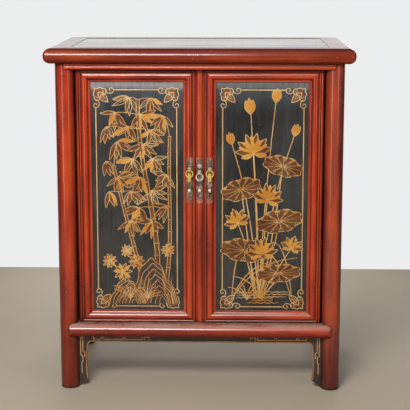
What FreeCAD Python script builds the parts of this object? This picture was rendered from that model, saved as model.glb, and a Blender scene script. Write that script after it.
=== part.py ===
"""Red-lacquered round-leg cabinet with two pivot-hung doors, modelled piece by piece.

Millimetres. +Z is up, the front faces -Y, and the origin is under the middle of the cabinet on the
floor. Every piece is its own solid, and each is written to parts/NAME.step. Pieces on the right are
modelled first and the left ones are their mirror images.
"""
import FreeCAD
import Part
import math
import os

V = FreeCAD.Vector

# ---------------------------------------------------------------- driving dimensions
# Overall
WIDTH = 840.0                 # across the top's rounded edges
DEPTH = 510.0                 # front to back across the top's rounded edges
HEIGHT = 962.0                # floor to the top's upper face

# Top frame and panel
TOP_THICKNESS = 42.0
TOP_MEMBER_WIDTH = 68.0
TOP_CORNER_RADIUS = 11.0      # plan rounding of the mitred corners
TOP_PANEL_DROP = 0.8          # panel lies this far below the frame's face
TOP_PANEL_THICKNESS = 12.0
TOP_TONGUE_THICKNESS = 5.0
TOP_TONGUE_LENGTH = 8.0
TOP_SEAM_Y = 75.0             # joint between the two panel boards
TOP_BATTEN_COUNT = 3
TOP_BATTEN_WIDTH = 30.0
TOP_BATTEN_THICKNESS = 16.0
TOP_TENON_THICKNESS = 10.0
TOP_TENON_WIDTH = 22.0
TOP_TENON_LENGTH = 20.0

# Legs
LEG_DIAMETER = 52.0
LEG_INSET = 26.0              # from the top's rounded edge to the leg's outer face
LEG_FOOT_CHAMFER = 3.0
LEG_TENON_SIDE = 20.0
LEG_TENON_HEIGHT = 11.0

# Front lintel and front sill rail, which both lap over the legs
LINTEL_HEIGHT = 16.0
LINTEL_PROUD = 6.0            # in front of the legs' front faces
SILL_TOP = 190.0              # height of the flat ledge under the doors
SILL_HEIGHT = 37.0
SILL_PROUD = 12.0
SILL_END_ROUND = 13.5         # corners of its ends, seen from the front
FRONT_RAIL_BACK = 46.0        # depth of lintel and sill behind the legs' front faces
RAIL_TENON_LENGTH = 14.0
RAIL_TENON_THICKNESS = 12.0

# Side and back rails, between the legs
SIDE_RAIL_INSET = 5.0         # outer face behind the legs' outer faces
SIDE_RAIL_DEPTH = 36.0
TOP_RAIL_HEIGHT = 32.0
TOP_RAIL_ROUND = 9.0

# Case panels
PANEL_THICKNESS = 9.0
PANEL_TONGUE = 7.0            # how far a case panel enters its grooves
BATTEN_WIDTH = 26.0
BATTEN_THICKNESS = 12.0
MUNTIN_WIDTH = 54.0
FLOOR_THICKNESS = 10.0
FLOOR_TONGUE_THICKNESS = 6.0  # of the floor's rebated edges, in the rails' grooves
FLOOR_EDGE_GAP = 0.5          # round the floor's upper face
FLOOR_DROP = 4.0              # floor board below the ledge
SHELF_TOP = 566.0
SHELF_THICKNESS = 14.0
SHELF_FRONT_SETBACK = 15.0    # behind the doors' backs
BEARER_HEIGHT = 20.0
BEARER_WIDTH = 18.0

# Aprons and spandrels
APRON_DROP = 58.0             # ledge down to the apron's lower edge
APRON_THICKNESS = 12.0
APRON_SETBACK = 36.0          # apron's face behind the front rail's nose
APRON_TONGUE = 6.0
APRON_BEAD_WIDTH = 4.0
APRON_BEAD_RISE = 1.5
SPANDREL_WIDTH = 25.0
SPANDREL_WAIST = 3.0          # how much narrower the spandrel is at its waist
SPANDREL_CORNER_RADIUS = 14.0
SPANDREL_FOOT_CLEARANCE = 6.0
SPANDREL_FOOT_RISE = 16.0

# Doors
DOOR_FACE_SETBACK = 19.0      # moulding crest behind the legs' front faces
DOOR_THICKNESS = 30.0
DOOR_LEG_GAP = 1.5
DOOR_STILE_GAP = 1.5          # between a door and the loose centre stile
DOOR_BOTTOM_GAP = 2.0
DOOR_TOP_GAP = 4.0
MOULDING_WIDTH = 32.0
HINGE_STILE_WIDTH = 42.0
PIVOT_COLUMN_RADIUS = 11.0
PIVOT_PIN_RADIUS = 7.0
PIVOT_TOP_LENGTH = 14.0
PIVOT_BOTTOM_LENGTH = 12.0
PIVOT_CLEARANCE = 0.08
PIVOT_SHOULDER_GAP = 0.4      # between the stile's ends and the ledge or lintel
PIVOT_END_GAP = 0.5           # under the lower pin, in its blind hole
DOOR_PANEL_DEPTH = 14.0       # panel's face behind the moulding crest
DOOR_PANEL_THICKNESS = 7.0
DOOR_PANEL_TONGUE = 6.0
DOOR_TENON_LENGTH = 22.0
DOOR_TENON_WIDTH = 14.0
DOOR_TENON_THICKNESS = 5.0
DOOR_BATTEN_COUNT = 3
DOOR_BATTEN_WIDTH = 24.0

# Section of the door moulding, as (distance from the panel, depth behind the crest)
FILLET_WIDTH = 3.5
FILLET_DEPTH = 10.5
BEAD_START = 8.5
BEAD_WIDTH = 17.0
BEAD_RISE = 4.5
QUIRK_WIDTH = 1.0
EDGE_BEAD_RISE = 2.7

# Loose centre stile
CENTRE_STILE_WIDTH = 23.0
CENTRE_STILE_SETBACK = 1.5    # its crest behind the doors' crests
CENTRE_STILE_THICKNESS = 26.0
CENTRE_TOP_ENGAGEMENT = 8.0   # inside the lintel when the stile is down
CENTRE_LIFT = 12.0
CENTRE_TONGUE_HEIGHT = 8.0
CENTRE_TONGUE_INSET = 4.0
CENTRE_CLEARANCE = 0.3

# Brass strips, staples, lugs and pulls
PLATE_BOTTOM = 533.5
PLATE_LENGTH = 128.0
PLATE_THICKNESS = 1.2
PLATE_SEAT = 0.1
PLATE_HALF_ANGLE = 53.0       # degrees of the bead each side of its crest that a plate covers
PULL_AXIS_Z = 632.0
PULL_RING_RADIUS = 9.6        # to the middle of the ring's wire
PULL_WIRE_RADIUS = 1.5
PULL_DROP = 38.0              # pin down to the tongue's tip
PULL_TONGUE_WIDTH = 9.0
PULL_TONGUE_HEAD = 1.0        # tongue's head above the ring's centre
PULL_EAR_GAP = 0.4            # between the sweep of a staple's ears and the ring under them
CENTRE_BOSS_RADIUS = 7.0
CENTRE_PULL_AXIS_Z = 624.0
CENTRE_PULL_DROP = 17.0       # pin down to the ring's centre
CENTRE_RING_RADIUS = 9.4
CENTRE_RING_LIFT = 1.4        # hole's centre above the outline's, which leaves the heavy lower edge
STAPLE_REACH = 4.6            # pin axis in front of the plate
STAPLE_EAR_SIZE = 5.4         # height of the ears, which also reach half of it past the pin
STAPLE_EAR_THICKNESS = 1.8
STAPLE_BASE_THICKNESS = 1.2
PULL_EYE_WIDTH = 3.6
PULL_EYE_SIZE = 4.4           # of the square eye round the pin
EYE_SIDE_CLEARANCE = 0.3
STAPLE_PIN_RADIUS = 1.2
SHANK_SIDE = 3.0              # of every staple, lug and boss, through the plate into the stile
SHANK_LENGTH = 14.0
SHANK_CLEARANCE = 0.05
STAPLE_PIN_CLEARANCE = 0.06
LUG_Z = 570.0
LUG_BORE_RADIUS = 2.2
LUG_RADIUS = 5.6
LUG_THICKNESS = 6.0
LUG_REACH = 6.0               # bore axis in front of the doors' plates
BOSS_HEIGHT = 3.0
BOSS_BEVEL = 2.5              # how much smaller the boss's face is than its foot, in radius
BOSS_GAP = 3.4                # between the boss and the staple under it

# Fits between fixed wooden pieces
JOINT_CLEARANCE = 0.15

# ---------------------------------------------------------------- places worked out from them
TOP_UNDER = HEIGHT - TOP_THICKNESS
LEG_R = LEG_DIAMETER / 2
LEG_X = WIDTH / 2 - LEG_INSET - LEG_R
LEG_Y = DEPTH / 2 - LEG_INSET - LEG_R
LEG_FACE_X = LEG_X + LEG_R
LEG_FACE_Y = LEG_Y + LEG_R
LINTEL_UNDER = TOP_UNDER - LINTEL_HEIGHT
SILL_UNDER = SILL_TOP - SILL_HEIGHT
FRONT_RAIL_BACK_Y = -LEG_FACE_Y + FRONT_RAIL_BACK
SIDE_RAIL_OUT = LEG_FACE_X - SIDE_RAIL_INSET
SIDE_RAIL_IN = SIDE_RAIL_OUT - SIDE_RAIL_DEPTH
BACK_RAIL_OUT = LEG_FACE_Y - SIDE_RAIL_INSET
BACK_RAIL_IN = BACK_RAIL_OUT - SIDE_RAIL_DEPTH
TOP_RAIL_UNDER = TOP_UNDER - TOP_RAIL_HEIGHT
SIDE_PANEL_X = LEG_X - PANEL_THICKNESS / 2
BACK_PANEL_Y = LEG_Y - PANEL_THICKNESS / 2
APRON_UNDER = SILL_TOP - APRON_DROP
APRON_FACE = LEG_FACE_Y + SILL_PROUD - APRON_SETBACK

CREST_Y = -LEG_FACE_Y + DOOR_FACE_SETBACK
DOOR_BACK_Y = CREST_Y + DOOR_THICKNESS
DOOR_IN = CENTRE_STILE_WIDTH / 2 + DOOR_STILE_GAP
DOOR_OUT = LEG_X - LEG_R - DOOR_LEG_GAP
DOOR_BOTTOM = SILL_TOP + DOOR_BOTTOM_GAP
DOOR_TOP = LINTEL_UNDER - DOOR_TOP_GAP
SIGHT_IN = DOOR_IN + MOULDING_WIDTH
SIGHT_OUT = DOOR_OUT - HINGE_STILE_WIDTH
SIGHT_BOTTOM = DOOR_BOTTOM + MOULDING_WIDTH
SIGHT_TOP = DOOR_TOP - MOULDING_WIDTH
PIVOT_X = DOOR_OUT - PIVOT_COLUMN_RADIUS
PIVOT_Y = CREST_Y + PIVOT_COLUMN_RADIUS
STILE_TOP = LINTEL_UNDER - PIVOT_SHOULDER_GAP
STILE_BOTTOM = SILL_TOP + PIVOT_SHOULDER_GAP
BEAD_CENTRE = BEAD_START + BEAD_WIDTH / 2
MEETING_BEAD_X = SIGHT_IN - BEAD_CENTRE
CENTRE_CREST_Y = CREST_Y + CENTRE_STILE_SETBACK
CENTRE_BACK_Y = CENTRE_CREST_Y + CENTRE_STILE_THICKNESS
FLOOR_TOP = SILL_TOP - FLOOR_DROP


# ---------------------------------------------------------------- helpers
def box(x0, x1, y0, y1, z0, z1):
    """A box between two corners."""
    return Part.makeBox(x1 - x0, y1 - y0, z1 - z0, V(x0, y0, z0))


def rod(centre, radius, length, axis):
    """A cylinder that starts at centre and runs along axis."""
    return Part.makeCylinder(radius, length, centre, axis)


def outline(place, start, steps):
    """A face from 2D steps. A step is an end point, or a middle and an end point for an arc."""
    edges = []
    here = start
    for step in steps:
        if len(step) == 2 and isinstance(step[0], tuple):
            middle, end = step
            edges.append(Part.Arc(place(*here), place(*middle), place(*end)).toShape())
        else:
            end = step
            edges.append(Part.LineSegment(place(*here), place(*end)).toShape())
        here = end
    return Part.Face(Part.Wire(edges))


def prism(place, start, steps, along):
    """An outline pushed along a vector."""
    return outline(place, start, steps).extrude(along)


def polygon_prism(place, points, along):
    """A straight-sided outline pushed along a vector."""
    return prism(place, points[0], points[1:] + points[:1], along)


def fused(shapes):
    """One clean solid from pieces that overlap or share faces."""
    return shapes[0].multiFuse(shapes[1:]).removeSplitter()


def mirrored(shape):
    """The same piece on the other side of the cabinet."""
    return shape.mirror(V(0, 0, 0), V(1, 0, 0))


def front_to_back(shape):
    """The same piece on the back of the cabinet."""
    return shape.mirror(V(0, 0, 0), V(0, 1, 0))


def bead_radius():
    """Radius of the large bead on the doors and the centre stile."""
    half = BEAD_WIDTH / 2
    return (half * half + BEAD_RISE * BEAD_RISE) / (2 * BEAD_RISE)


# ---------------------------------------------------------------- legs
def leg_axis(side_x, side_y):
    return V(side_x * LEG_X, side_y * LEG_Y, 0)


def leg_cylinders(grow=0.0):
    """The four legs' round bodies, to scribe rails and boards to them."""
    height = TOP_UNDER
    legs = []
    for side_x in (-1, 1):
        for side_y in (-1, 1):
            legs.append(rod(leg_axis(side_x, side_y), LEG_R + grow, height, V(0, 0, 1)))
    return Part.makeCompound(legs)


def leg_blank():
    """The right-hand front leg before its mortises are cut."""
    body = rod(leg_axis(1, -1), LEG_R, TOP_UNDER, V(0, 0, 1))
    foot = [edge for edge in body.Edges
            if edge.BoundBox.ZMax < 1.0 and edge.BoundBox.XLength > LEG_R]
    body = body.makeChamfer(LEG_FOOT_CHAMFER, foot)
    return fused([body, leg_tenon(0.0)])


def leg_tenon(grow):
    """The square tenon that enters the top frame's mitre."""
    half = LEG_TENON_SIDE / 2 + grow
    top = TOP_UNDER + LEG_TENON_HEIGHT + grow
    return box(LEG_X - half, LEG_X + half, -LEG_Y - half, -LEG_Y + half, TOP_UNDER - 1, top)


def rail_tenon_heights(z0, z1):
    """Tenon height inside a rail that runs from z0 to z1."""
    shoulder = (z1 - z0) / 5
    return z0 + shoulder, z1 - shoulder


def x_tenon(z0, z1, middle_y, grow=0.0):
    """The tenon of a rail that runs along X, at its right-hand end."""
    low, high = rail_tenon_heights(z0, z1)
    half = RAIL_TENON_THICKNESS / 2 + grow
    start = LEG_X - LEG_R
    return box(start - 3, start + RAIL_TENON_LENGTH + grow, middle_y - half, middle_y + half,
               low - grow, high + grow)


def y_tenon(z0, z1, middle_x, grow=0.0):
    """The tenon of a side rail that runs along Y, at its front end."""
    low, high = rail_tenon_heights(z0, z1)
    half = RAIL_TENON_THICKNESS / 2 + grow
    start = -LEG_Y + LEG_R
    return box(middle_x - half, middle_x + half, start - RAIL_TENON_LENGTH - grow, start + 3,
               low - grow, high + grow)


def front_leg(z_panel_low, z_panel_high):
    """Right-hand front leg with mortises for the rails and grooves for the side panel."""
    leg = leg_blank()
    cuts = [x_tenon(SILL_UNDER, SILL_TOP, -LEG_Y, JOINT_CLEARANCE),
            y_tenon(SILL_UNDER, SILL_TOP, LEG_X, JOINT_CLEARANCE),
            y_tenon(TOP_RAIL_UNDER, TOP_UNDER, LEG_X, JOINT_CLEARANCE),
            side_panel_board(JOINT_CLEARANCE, z_panel_low, z_panel_high),
            spandrel_tongue(JOINT_CLEARANCE),
            turned_to_side(spandrel_tongue_side(JOINT_CLEARANCE))]
    for cut in cuts:
        leg = leg.cut(cut)
    return leg


def back_leg(z_panel_low, z_panel_high):
    """Right-hand back leg with mortises for the rails and grooves for side and back panels."""
    leg = front_to_back(leg_blank())
    low, high = z_panel_low, z_panel_high
    cuts = [x_tenon(SILL_UNDER, SILL_TOP, LEG_Y, JOINT_CLEARANCE),
            x_tenon(TOP_RAIL_UNDER, TOP_UNDER, LEG_Y, JOINT_CLEARANCE),
            front_to_back(y_tenon(SILL_UNDER, SILL_TOP, LEG_X, JOINT_CLEARANCE)),
            front_to_back(y_tenon(TOP_RAIL_UNDER, TOP_UNDER, LEG_X, JOINT_CLEARANCE)),
            side_panel_board(JOINT_CLEARANCE, low, high),
            back_panel_board(JOINT_CLEARANCE, low, high),
            front_to_back(turned_to_side(spandrel_tongue_side(JOINT_CLEARANCE)))]
    for cut in cuts:
        leg = leg.cut(cut)
    return leg


# ---------------------------------------------------------------- top
def top_blank():
    """Plan-rounded block that softens the mitred corners."""
    block = box(-WIDTH / 2, WIDTH / 2, -DEPTH / 2, DEPTH / 2, TOP_UNDER, HEIGHT)
    corners = [edge for edge in block.Edges if edge.BoundBox.ZLength > TOP_THICKNESS - 1]
    return block.makeFillet(TOP_CORNER_RADIUS, corners)


def top_member(half_length, half_reach):
    """A bullnosed member along X at the front of a frame, mitred at both ends."""
    nose = TOP_THICKNESS / 2
    outer = -half_reach
    inner = outer + TOP_MEMBER_WIDTH
    start = (inner, TOP_UNDER)
    steps = [(outer + nose, TOP_UNDER), ((outer, TOP_UNDER + nose), (outer + nose, HEIGHT)),
             (inner, HEIGHT), start]
    bar = prism(lambda y, z: V(-half_length, y, z), start, steps, V(2 * half_length, 0, 0))
    inner_half = half_length - TOP_MEMBER_WIDTH
    mitre = [(-half_length, outer), (half_length, outer), (inner_half, inner), (-inner_half, inner)]
    keep = polygon_prism(lambda x, y: V(x, y, TOP_UNDER), mitre, V(0, 0, TOP_THICKNESS))
    return bar.common(keep)


def top_panel_bed(grow=0.0):
    """The panel with its tongues, as one board, before it is parted at the seam."""
    face_x = WIDTH / 2 - TOP_MEMBER_WIDTH
    face_y = DEPTH / 2 - TOP_MEMBER_WIDTH
    top = HEIGHT - TOP_PANEL_DROP
    under = top - TOP_PANEL_THICKNESS
    reach_x = face_x + TOP_TONGUE_LENGTH + grow
    reach_y = face_y + TOP_TONGUE_LENGTH + grow
    tongue_top = under + TOP_TONGUE_THICKNESS
    tongue = box(-reach_x, reach_x, -reach_y, reach_y, under - grow, tongue_top + grow)
    gap = JOINT_CLEARANCE * 2
    body = box(-face_x + gap, face_x - gap, -face_y + gap, face_y - gap, under, top)
    return tongue, body


def top_tenon(grow):
    """Tenon on the front member that enters the right-hand side member across the mitre."""
    x0 = WIDTH / 2 - TOP_MEMBER_WIDTH + 2
    y0 = -DEPTH / 2 + TOP_THICKNESS / 2 + 8
    z0 = TOP_UNDER + LEG_TENON_HEIGHT + 3
    length = TOP_TENON_LENGTH + TOP_MEMBER_WIDTH / 2
    return box(x0 - grow, x0 + length + grow, y0 - grow, y0 + TOP_TENON_WIDTH + grow,
               z0 - grow, z0 + TOP_TENON_THICKNESS + grow)


def top_battens():
    """Battens under the top panel, tenoned into the front and back members."""
    under = HEIGHT - TOP_PANEL_DROP - TOP_PANEL_THICKNESS
    face_y = DEPTH / 2 - TOP_MEMBER_WIDTH
    pitch = (WIDTH - 2 * TOP_MEMBER_WIDTH) / (TOP_BATTEN_COUNT + 1)
    first = -pitch * (TOP_BATTEN_COUNT - 1) / 2
    battens = []
    for index in range(TOP_BATTEN_COUNT):
        x = first + pitch * index
        half = TOP_BATTEN_WIDTH / 2
        body = box(x - half, x + half, -face_y, face_y, under - TOP_BATTEN_THICKNESS, under)
        stub = box(x - half / 2, x + half / 2, -face_y - TOP_TONGUE_LENGTH, face_y + TOP_TONGUE_LENGTH,
                   under - TOP_BATTEN_THICKNESS + 3, under - 3)
        battens.append(fused([body, stub]))
    return battens


def batten_mortises():
    """Room in the front and back members for the battens' stub tenons."""
    under = HEIGHT - TOP_PANEL_DROP - TOP_PANEL_THICKNESS
    face_y = DEPTH / 2 - TOP_MEMBER_WIDTH
    pitch = (WIDTH - 2 * TOP_MEMBER_WIDTH) / (TOP_BATTEN_COUNT + 1)
    first = -pitch * (TOP_BATTEN_COUNT - 1) / 2
    half = TOP_BATTEN_WIDTH / 4 + JOINT_CLEARANCE
    reach = face_y + TOP_TONGUE_LENGTH + JOINT_CLEARANCE
    cuts = []
    for index in range(TOP_BATTEN_COUNT):
        x = first + pitch * index
        cuts.append(box(x - half, x + half, -reach, reach,
                        under - TOP_BATTEN_THICKNESS + 3 - JOINT_CLEARANCE, under - 3 + JOINT_CLEARANCE))
    return Part.makeCompound(cuts)


def top_pieces():
    """The four frame members, the two panel boards and the battens under them."""
    blank = top_blank()
    groove, _ = top_panel_bed(JOINT_CLEARANCE)
    tongue, body = top_panel_bed()
    tenons = leg_sockets()
    corner_tenon = top_tenon(0.0)
    corner_mortise = top_tenon(JOINT_CLEARANCE)

    front = top_member(WIDTH / 2, DEPTH / 2).common(blank)
    side = top_member(DEPTH / 2, WIDTH / 2)
    side = side.rotate(V(0, 0, 0), V(0, 0, 1), 90).common(blank)

    front = fused([front, corner_tenon, mirrored(corner_tenon)])
    back = front_to_back(front)
    side = side.cut(corner_mortise).cut(front_to_back(corner_mortise))
    side = side.cut(groove).cut(tenons)
    back = back.cut(groove).cut(tenons).cut(batten_mortises())
    front = front.cut(groove).cut(tenons).cut(batten_mortises())
    front = front.cut(centre_stile_socket(TOP_UNDER + top_pocket_depth()))

    bed = fused([tongue, body])
    reach = WIDTH
    seam = JOINT_CLEARANCE
    front_half = box(-reach, reach, -DEPTH, TOP_SEAM_Y - seam, 0, 2 * HEIGHT)
    back_half = box(-reach, reach, TOP_SEAM_Y + seam, DEPTH, 0, 2 * HEIGHT)
    return {"top_frame_front": front, "top_frame_back": back,
            "top_frame_right": side, "top_frame_left": mirrored(side),
            "top_panel_front_board": bed.common(front_half),
            "top_panel_back_board": bed.common(back_half),
            "top_battens": Part.makeCompound(top_battens())}


def leg_sockets():
    """Mortises for all four legs' top tenons."""
    one = leg_tenon(JOINT_CLEARANCE)
    return Part.makeCompound([one, mirrored(one), front_to_back(one), mirrored(front_to_back(one))])


def top_pocket_depth():
    """How deep the raised centre stile reaches into the top's front member."""
    return CENTRE_TOP_ENGAGEMENT + CENTRE_LIFT - LINTEL_HEIGHT + 1.0


# ---------------------------------------------------------------- front lintel and sill
def lapped_ends(proud, z0, z1):
    """Plan-rounded block that gives a front rail its rounded ends over the legs."""
    front = -LEG_FACE_Y - proud
    end = LEG_X
    start = (-end, FRONT_RAIL_BACK_Y)
    mid = proud * (1 - math.sqrt(0.5))
    steps = [(-end, front + proud), ((-end + mid, front + mid), (-end + proud, front)),
             (end - proud, front), ((end - mid, front + mid), (end, front + proud)),
             (end, FRONT_RAIL_BACK_Y), start]
    return prism(lambda x, y: V(x, y, z0), start, steps, V(0, 0, z1 - z0))


def rounded_ends(z0, z1):
    """Block with rounded corners, seen from the front, that rounds the sill rail's ends."""
    r = SILL_END_ROUND
    mid = r * (1 - math.sqrt(0.5))
    end = LEG_X
    start = (-end, z0 + r)
    steps = [((-end + mid, z0 + mid), (-end + r, z0)), (end - r, z0),
             ((end - mid, z0 + mid), (end, z0 + r)), (end, z1 - r),
             ((end - mid, z1 - mid), (end - r, z1)), (-end + r, z1),
             ((-end + mid, z1 - mid), (-end, z1 - r)), start]
    return prism(lambda x, z: V(x, -DEPTH, z), start, steps, V(0, DEPTH, 0))


def front_lintel():
    """Thin moulded lintel under the top, lapped over the legs, with holes for the door pivots."""
    face = -LEG_FACE_Y - LINTEL_PROUD
    z0, z1 = LINTEL_UNDER, TOP_UNDER
    inset = LINTEL_PROUD * 0.4
    bead = LINTEL_HEIGHT * 0.28
    quirk = LINTEL_HEIGHT * 0.06
    start = (FRONT_RAIL_BACK_Y, z0)
    steps = [(face + LINTEL_PROUD * 0.6, z0),
             ((face, z0 + LINTEL_HEIGHT * 0.3), (face + inset, z1 - bead - quirk)),
             (face + inset, z1 - bead),
             ((face + inset / 8, z1 - bead / 2), (face + inset, z1)),
             (FRONT_RAIL_BACK_Y, z1), start]
    bar = prism(lambda y, z: V(-LEG_X, y, z), start, steps, V(2 * LEG_X, 0, 0))
    bar = bar.common(lapped_ends(LINTEL_PROUD, z0, z1))
    bar = bar.cut(leg_cylinders())
    hole_radius = PIVOT_PIN_RADIUS + PIVOT_CLEARANCE
    hole = rod(V(PIVOT_X, PIVOT_Y, z0 - 1), hole_radius, LINTEL_HEIGHT + 2, V(0, 0, 1))
    bar = bar.cut(hole).cut(mirrored(hole))
    return bar.cut(centre_stile_socket(TOP_UNDER + 1))


def front_sill_rail():
    """Round-nosed rail with the dusty ledge: coped and tenoned to the legs and lapped over them."""
    face = -LEG_FACE_Y - SILL_PROUD
    nose = SILL_HEIGHT / 2
    start = (FRONT_RAIL_BACK_Y, SILL_UNDER)
    steps = [(face + nose, SILL_UNDER), ((face, SILL_UNDER + nose), (face + nose, SILL_TOP)),
             (FRONT_RAIL_BACK_Y, SILL_TOP), start]
    bar = prism(lambda y, z: V(-LEG_X, y, z), start, steps, V(2 * LEG_X, 0, 0))
    bar = bar.common(lapped_ends(SILL_PROUD, SILL_UNDER, SILL_TOP))
    bar = bar.common(rounded_ends(SILL_UNDER, SILL_TOP))
    bar = bar.cut(leg_cylinders())
    tenon = x_tenon(SILL_UNDER, SILL_TOP, -LEG_Y)
    bar = fused([bar, tenon, mirrored(tenon)])
    depth = PIVOT_BOTTOM_LENGTH - PIVOT_SHOULDER_GAP + PIVOT_END_GAP
    hole_radius = PIVOT_PIN_RADIUS + PIVOT_CLEARANCE
    hole = rod(V(PIVOT_X, PIVOT_Y, SILL_TOP - depth), hole_radius, depth + 1, V(0, 0, 1))
    bar = bar.cut(hole).cut(mirrored(hole))
    bar = bar.cut(centre_tongue(CENTRE_CLEARANCE))
    bar = bar.cut(floor_board(JOINT_CLEARANCE))
    return bar.cut(front_apron_tongues(JOINT_CLEARANCE))


# ---------------------------------------------------------------- side and back rails
def side_lower_rail():
    """Right-hand lower rail, round-nosed like the front one, between the legs."""
    nose = SILL_HEIGHT / 2
    start = (SIDE_RAIL_IN, SILL_UNDER)
    steps = [(SIDE_RAIL_OUT - nose, SILL_UNDER),
             ((SIDE_RAIL_OUT, SILL_UNDER + nose), (SIDE_RAIL_OUT - nose, SILL_TOP)),
             (SIDE_RAIL_IN, SILL_TOP), start]
    bar = prism(lambda x, z: V(x, -LEG_Y, z), start, steps, V(0, 2 * LEG_Y, 0))
    bar = bar.cut(leg_cylinders())
    tenon = y_tenon(SILL_UNDER, SILL_TOP, LEG_X)
    bar = fused([bar, tenon, front_to_back(tenon)])
    low, high = panel_heights()
    bar = bar.cut(side_panel_board(JOINT_CLEARANCE, low, high)).cut(floor_board(JOINT_CLEARANCE))
    return bar.cut(side_apron_tongues(JOINT_CLEARANCE))


def side_top_rail():
    """Right-hand top rail with a rounded lower edge, tenoned between the legs."""
    r = TOP_RAIL_ROUND
    mid = r * (1 - math.sqrt(0.5))
    start = (SIDE_RAIL_IN, TOP_RAIL_UNDER)
    steps = [(SIDE_RAIL_OUT - r, TOP_RAIL_UNDER),
             ((SIDE_RAIL_OUT - mid, TOP_RAIL_UNDER + mid), (SIDE_RAIL_OUT, TOP_RAIL_UNDER + r)),
             (SIDE_RAIL_OUT, TOP_UNDER), (SIDE_RAIL_IN, TOP_UNDER), start]
    bar = prism(lambda x, z: V(x, -LEG_Y, z), start, steps, V(0, 2 * LEG_Y, 0))
    bar = bar.cut(leg_cylinders())
    tenon = y_tenon(TOP_RAIL_UNDER, TOP_UNDER, LEG_X)
    bar = fused([bar, tenon, front_to_back(tenon)])
    low, high = panel_heights()
    bar = bar.cut(front_rail_envelope())
    return bar.cut(side_panel_board(JOINT_CLEARANCE, low, high))


def front_rail_envelope():
    """Space of the front lintel, which the side top rails stop short of."""
    return box(-LEG_X, LEG_X, -DEPTH, FRONT_RAIL_BACK_Y, LINTEL_UNDER, TOP_UNDER)


def back_rail(z0, z1):
    """A plain back rail between the back legs."""
    r = TOP_RAIL_ROUND
    mid = r * (1 - math.sqrt(0.5))
    start = (BACK_RAIL_IN, z0)
    steps = [(BACK_RAIL_IN, z1), (BACK_RAIL_OUT, z1), (BACK_RAIL_OUT, z0 + r),
             ((BACK_RAIL_OUT - mid, z0 + mid), (BACK_RAIL_OUT - r, z0)), start]
    bar = prism(lambda y, z: V(-LEG_X, y, z), start, steps, V(2 * LEG_X, 0, 0))
    bar = bar.cut(leg_cylinders())
    tenon = x_tenon(z0, z1, LEG_Y)
    bar = fused([bar, tenon, mirrored(tenon)])
    low, high = panel_heights()
    bar = bar.cut(back_panel_board(JOINT_CLEARANCE, low, high))
    bar = bar.cut(mirrored(back_panel_board(JOINT_CLEARANCE, low, high)))
    bar = bar.cut(muntin_tenons(JOINT_CLEARANCE))
    side = [box(SIDE_RAIL_IN, WIDTH, -LEG_Y, LEG_Y - LEG_R, z0 - 1, z1 + 1)]
    side.append(mirrored(side[0]))
    for clear in side:
        bar = bar.cut(clear)
    return bar.cut(floor_board(JOINT_CLEARANCE))


# ---------------------------------------------------------------- case panels
def panel_heights():
    """Lower and upper edges of the side and back panels, inside the rails' grooves."""
    return SILL_TOP - PANEL_TONGUE, TOP_RAIL_UNDER + PANEL_TONGUE


def side_panel_board(grow, low, high):
    """Right-hand side panel, which enters the legs' and the rails' grooves."""
    reach = LEG_Y - LEG_R + PANEL_TONGUE + grow
    return box(SIDE_PANEL_X - grow, SIDE_PANEL_X + PANEL_THICKNESS + grow, -reach, reach,
               low - grow, high + grow)


def side_battens():
    """Two dovetail-style battens on the inner face of each side panel."""
    low, high = SILL_TOP, TOP_RAIL_UNDER
    half_length = LEG_Y - LEG_R - 0.5
    battens = []
    for share in (0.3, 0.75):
        z = low + (high - low) * share
        one = box(SIDE_PANEL_X - BATTEN_THICKNESS, SIDE_PANEL_X, -half_length, half_length,
                  z - BATTEN_WIDTH / 2, z + BATTEN_WIDTH / 2)
        battens += [one, mirrored(one)]
    return battens


def back_panel_board(grow, low, high):
    """Right-hand back panel, between the muntin and the leg."""
    x0 = MUNTIN_WIDTH / 2 - PANEL_TONGUE - grow
    x1 = LEG_X - LEG_R + PANEL_TONGUE + grow
    return box(x0, x1, BACK_PANEL_Y - grow, BACK_PANEL_Y + PANEL_THICKNESS + grow,
               low - grow, high + grow)


def muntin_tenons(grow):
    """Stub tenons at both ends of the back muntin."""
    half = MUNTIN_WIDTH / 4 + grow
    low, high = panel_heights()
    y0 = LEG_Y - RAIL_TENON_THICKNESS / 2 - grow
    y1 = LEG_Y + RAIL_TENON_THICKNESS / 2 + grow
    lower = box(-half, half, y0, y1, low - PANEL_TONGUE - grow, SILL_TOP + 1)
    upper = box(-half, half, y0, y1, TOP_RAIL_UNDER - 1, high + PANEL_TONGUE + grow)
    return Part.makeCompound([lower, upper])


def back_muntin():
    """Upright in the middle of the back."""
    half = MUNTIN_WIDTH / 2
    body = box(-half, half, BACK_RAIL_IN + 6, BACK_RAIL_OUT - 3, SILL_TOP, TOP_RAIL_UNDER)
    body = fused([body] + muntin_tenons(0.0).Solids)
    low, high = panel_heights()
    groove = back_panel_board(JOINT_CLEARANCE, low, high)
    return body.cut(groove).cut(mirrored(groove))


def floor_board(grow):
    """The cabinet's floor, whose rebated edges are housed in grooves in the four lower rails."""
    x = SIDE_RAIL_IN + PANEL_TONGUE + grow
    y0 = FRONT_RAIL_BACK_Y - PANEL_TONGUE - grow
    y1 = BACK_RAIL_IN + PANEL_TONGUE + grow
    under = FLOOR_TOP - FLOOR_THICKNESS
    tongue = box(-x, x, y0, y1, under - grow, under + FLOOR_TONGUE_THICKNESS + grow)
    inside = SIDE_RAIL_IN - FLOOR_EDGE_GAP
    face = box(-inside, inside, FRONT_RAIL_BACK_Y + FLOOR_EDGE_GAP, BACK_RAIL_IN - FLOOR_EDGE_GAP,
               under, FLOOR_TOP)
    return fused([tongue, face]).cut(leg_cylinders(FLOOR_EDGE_GAP - grow))


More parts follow.
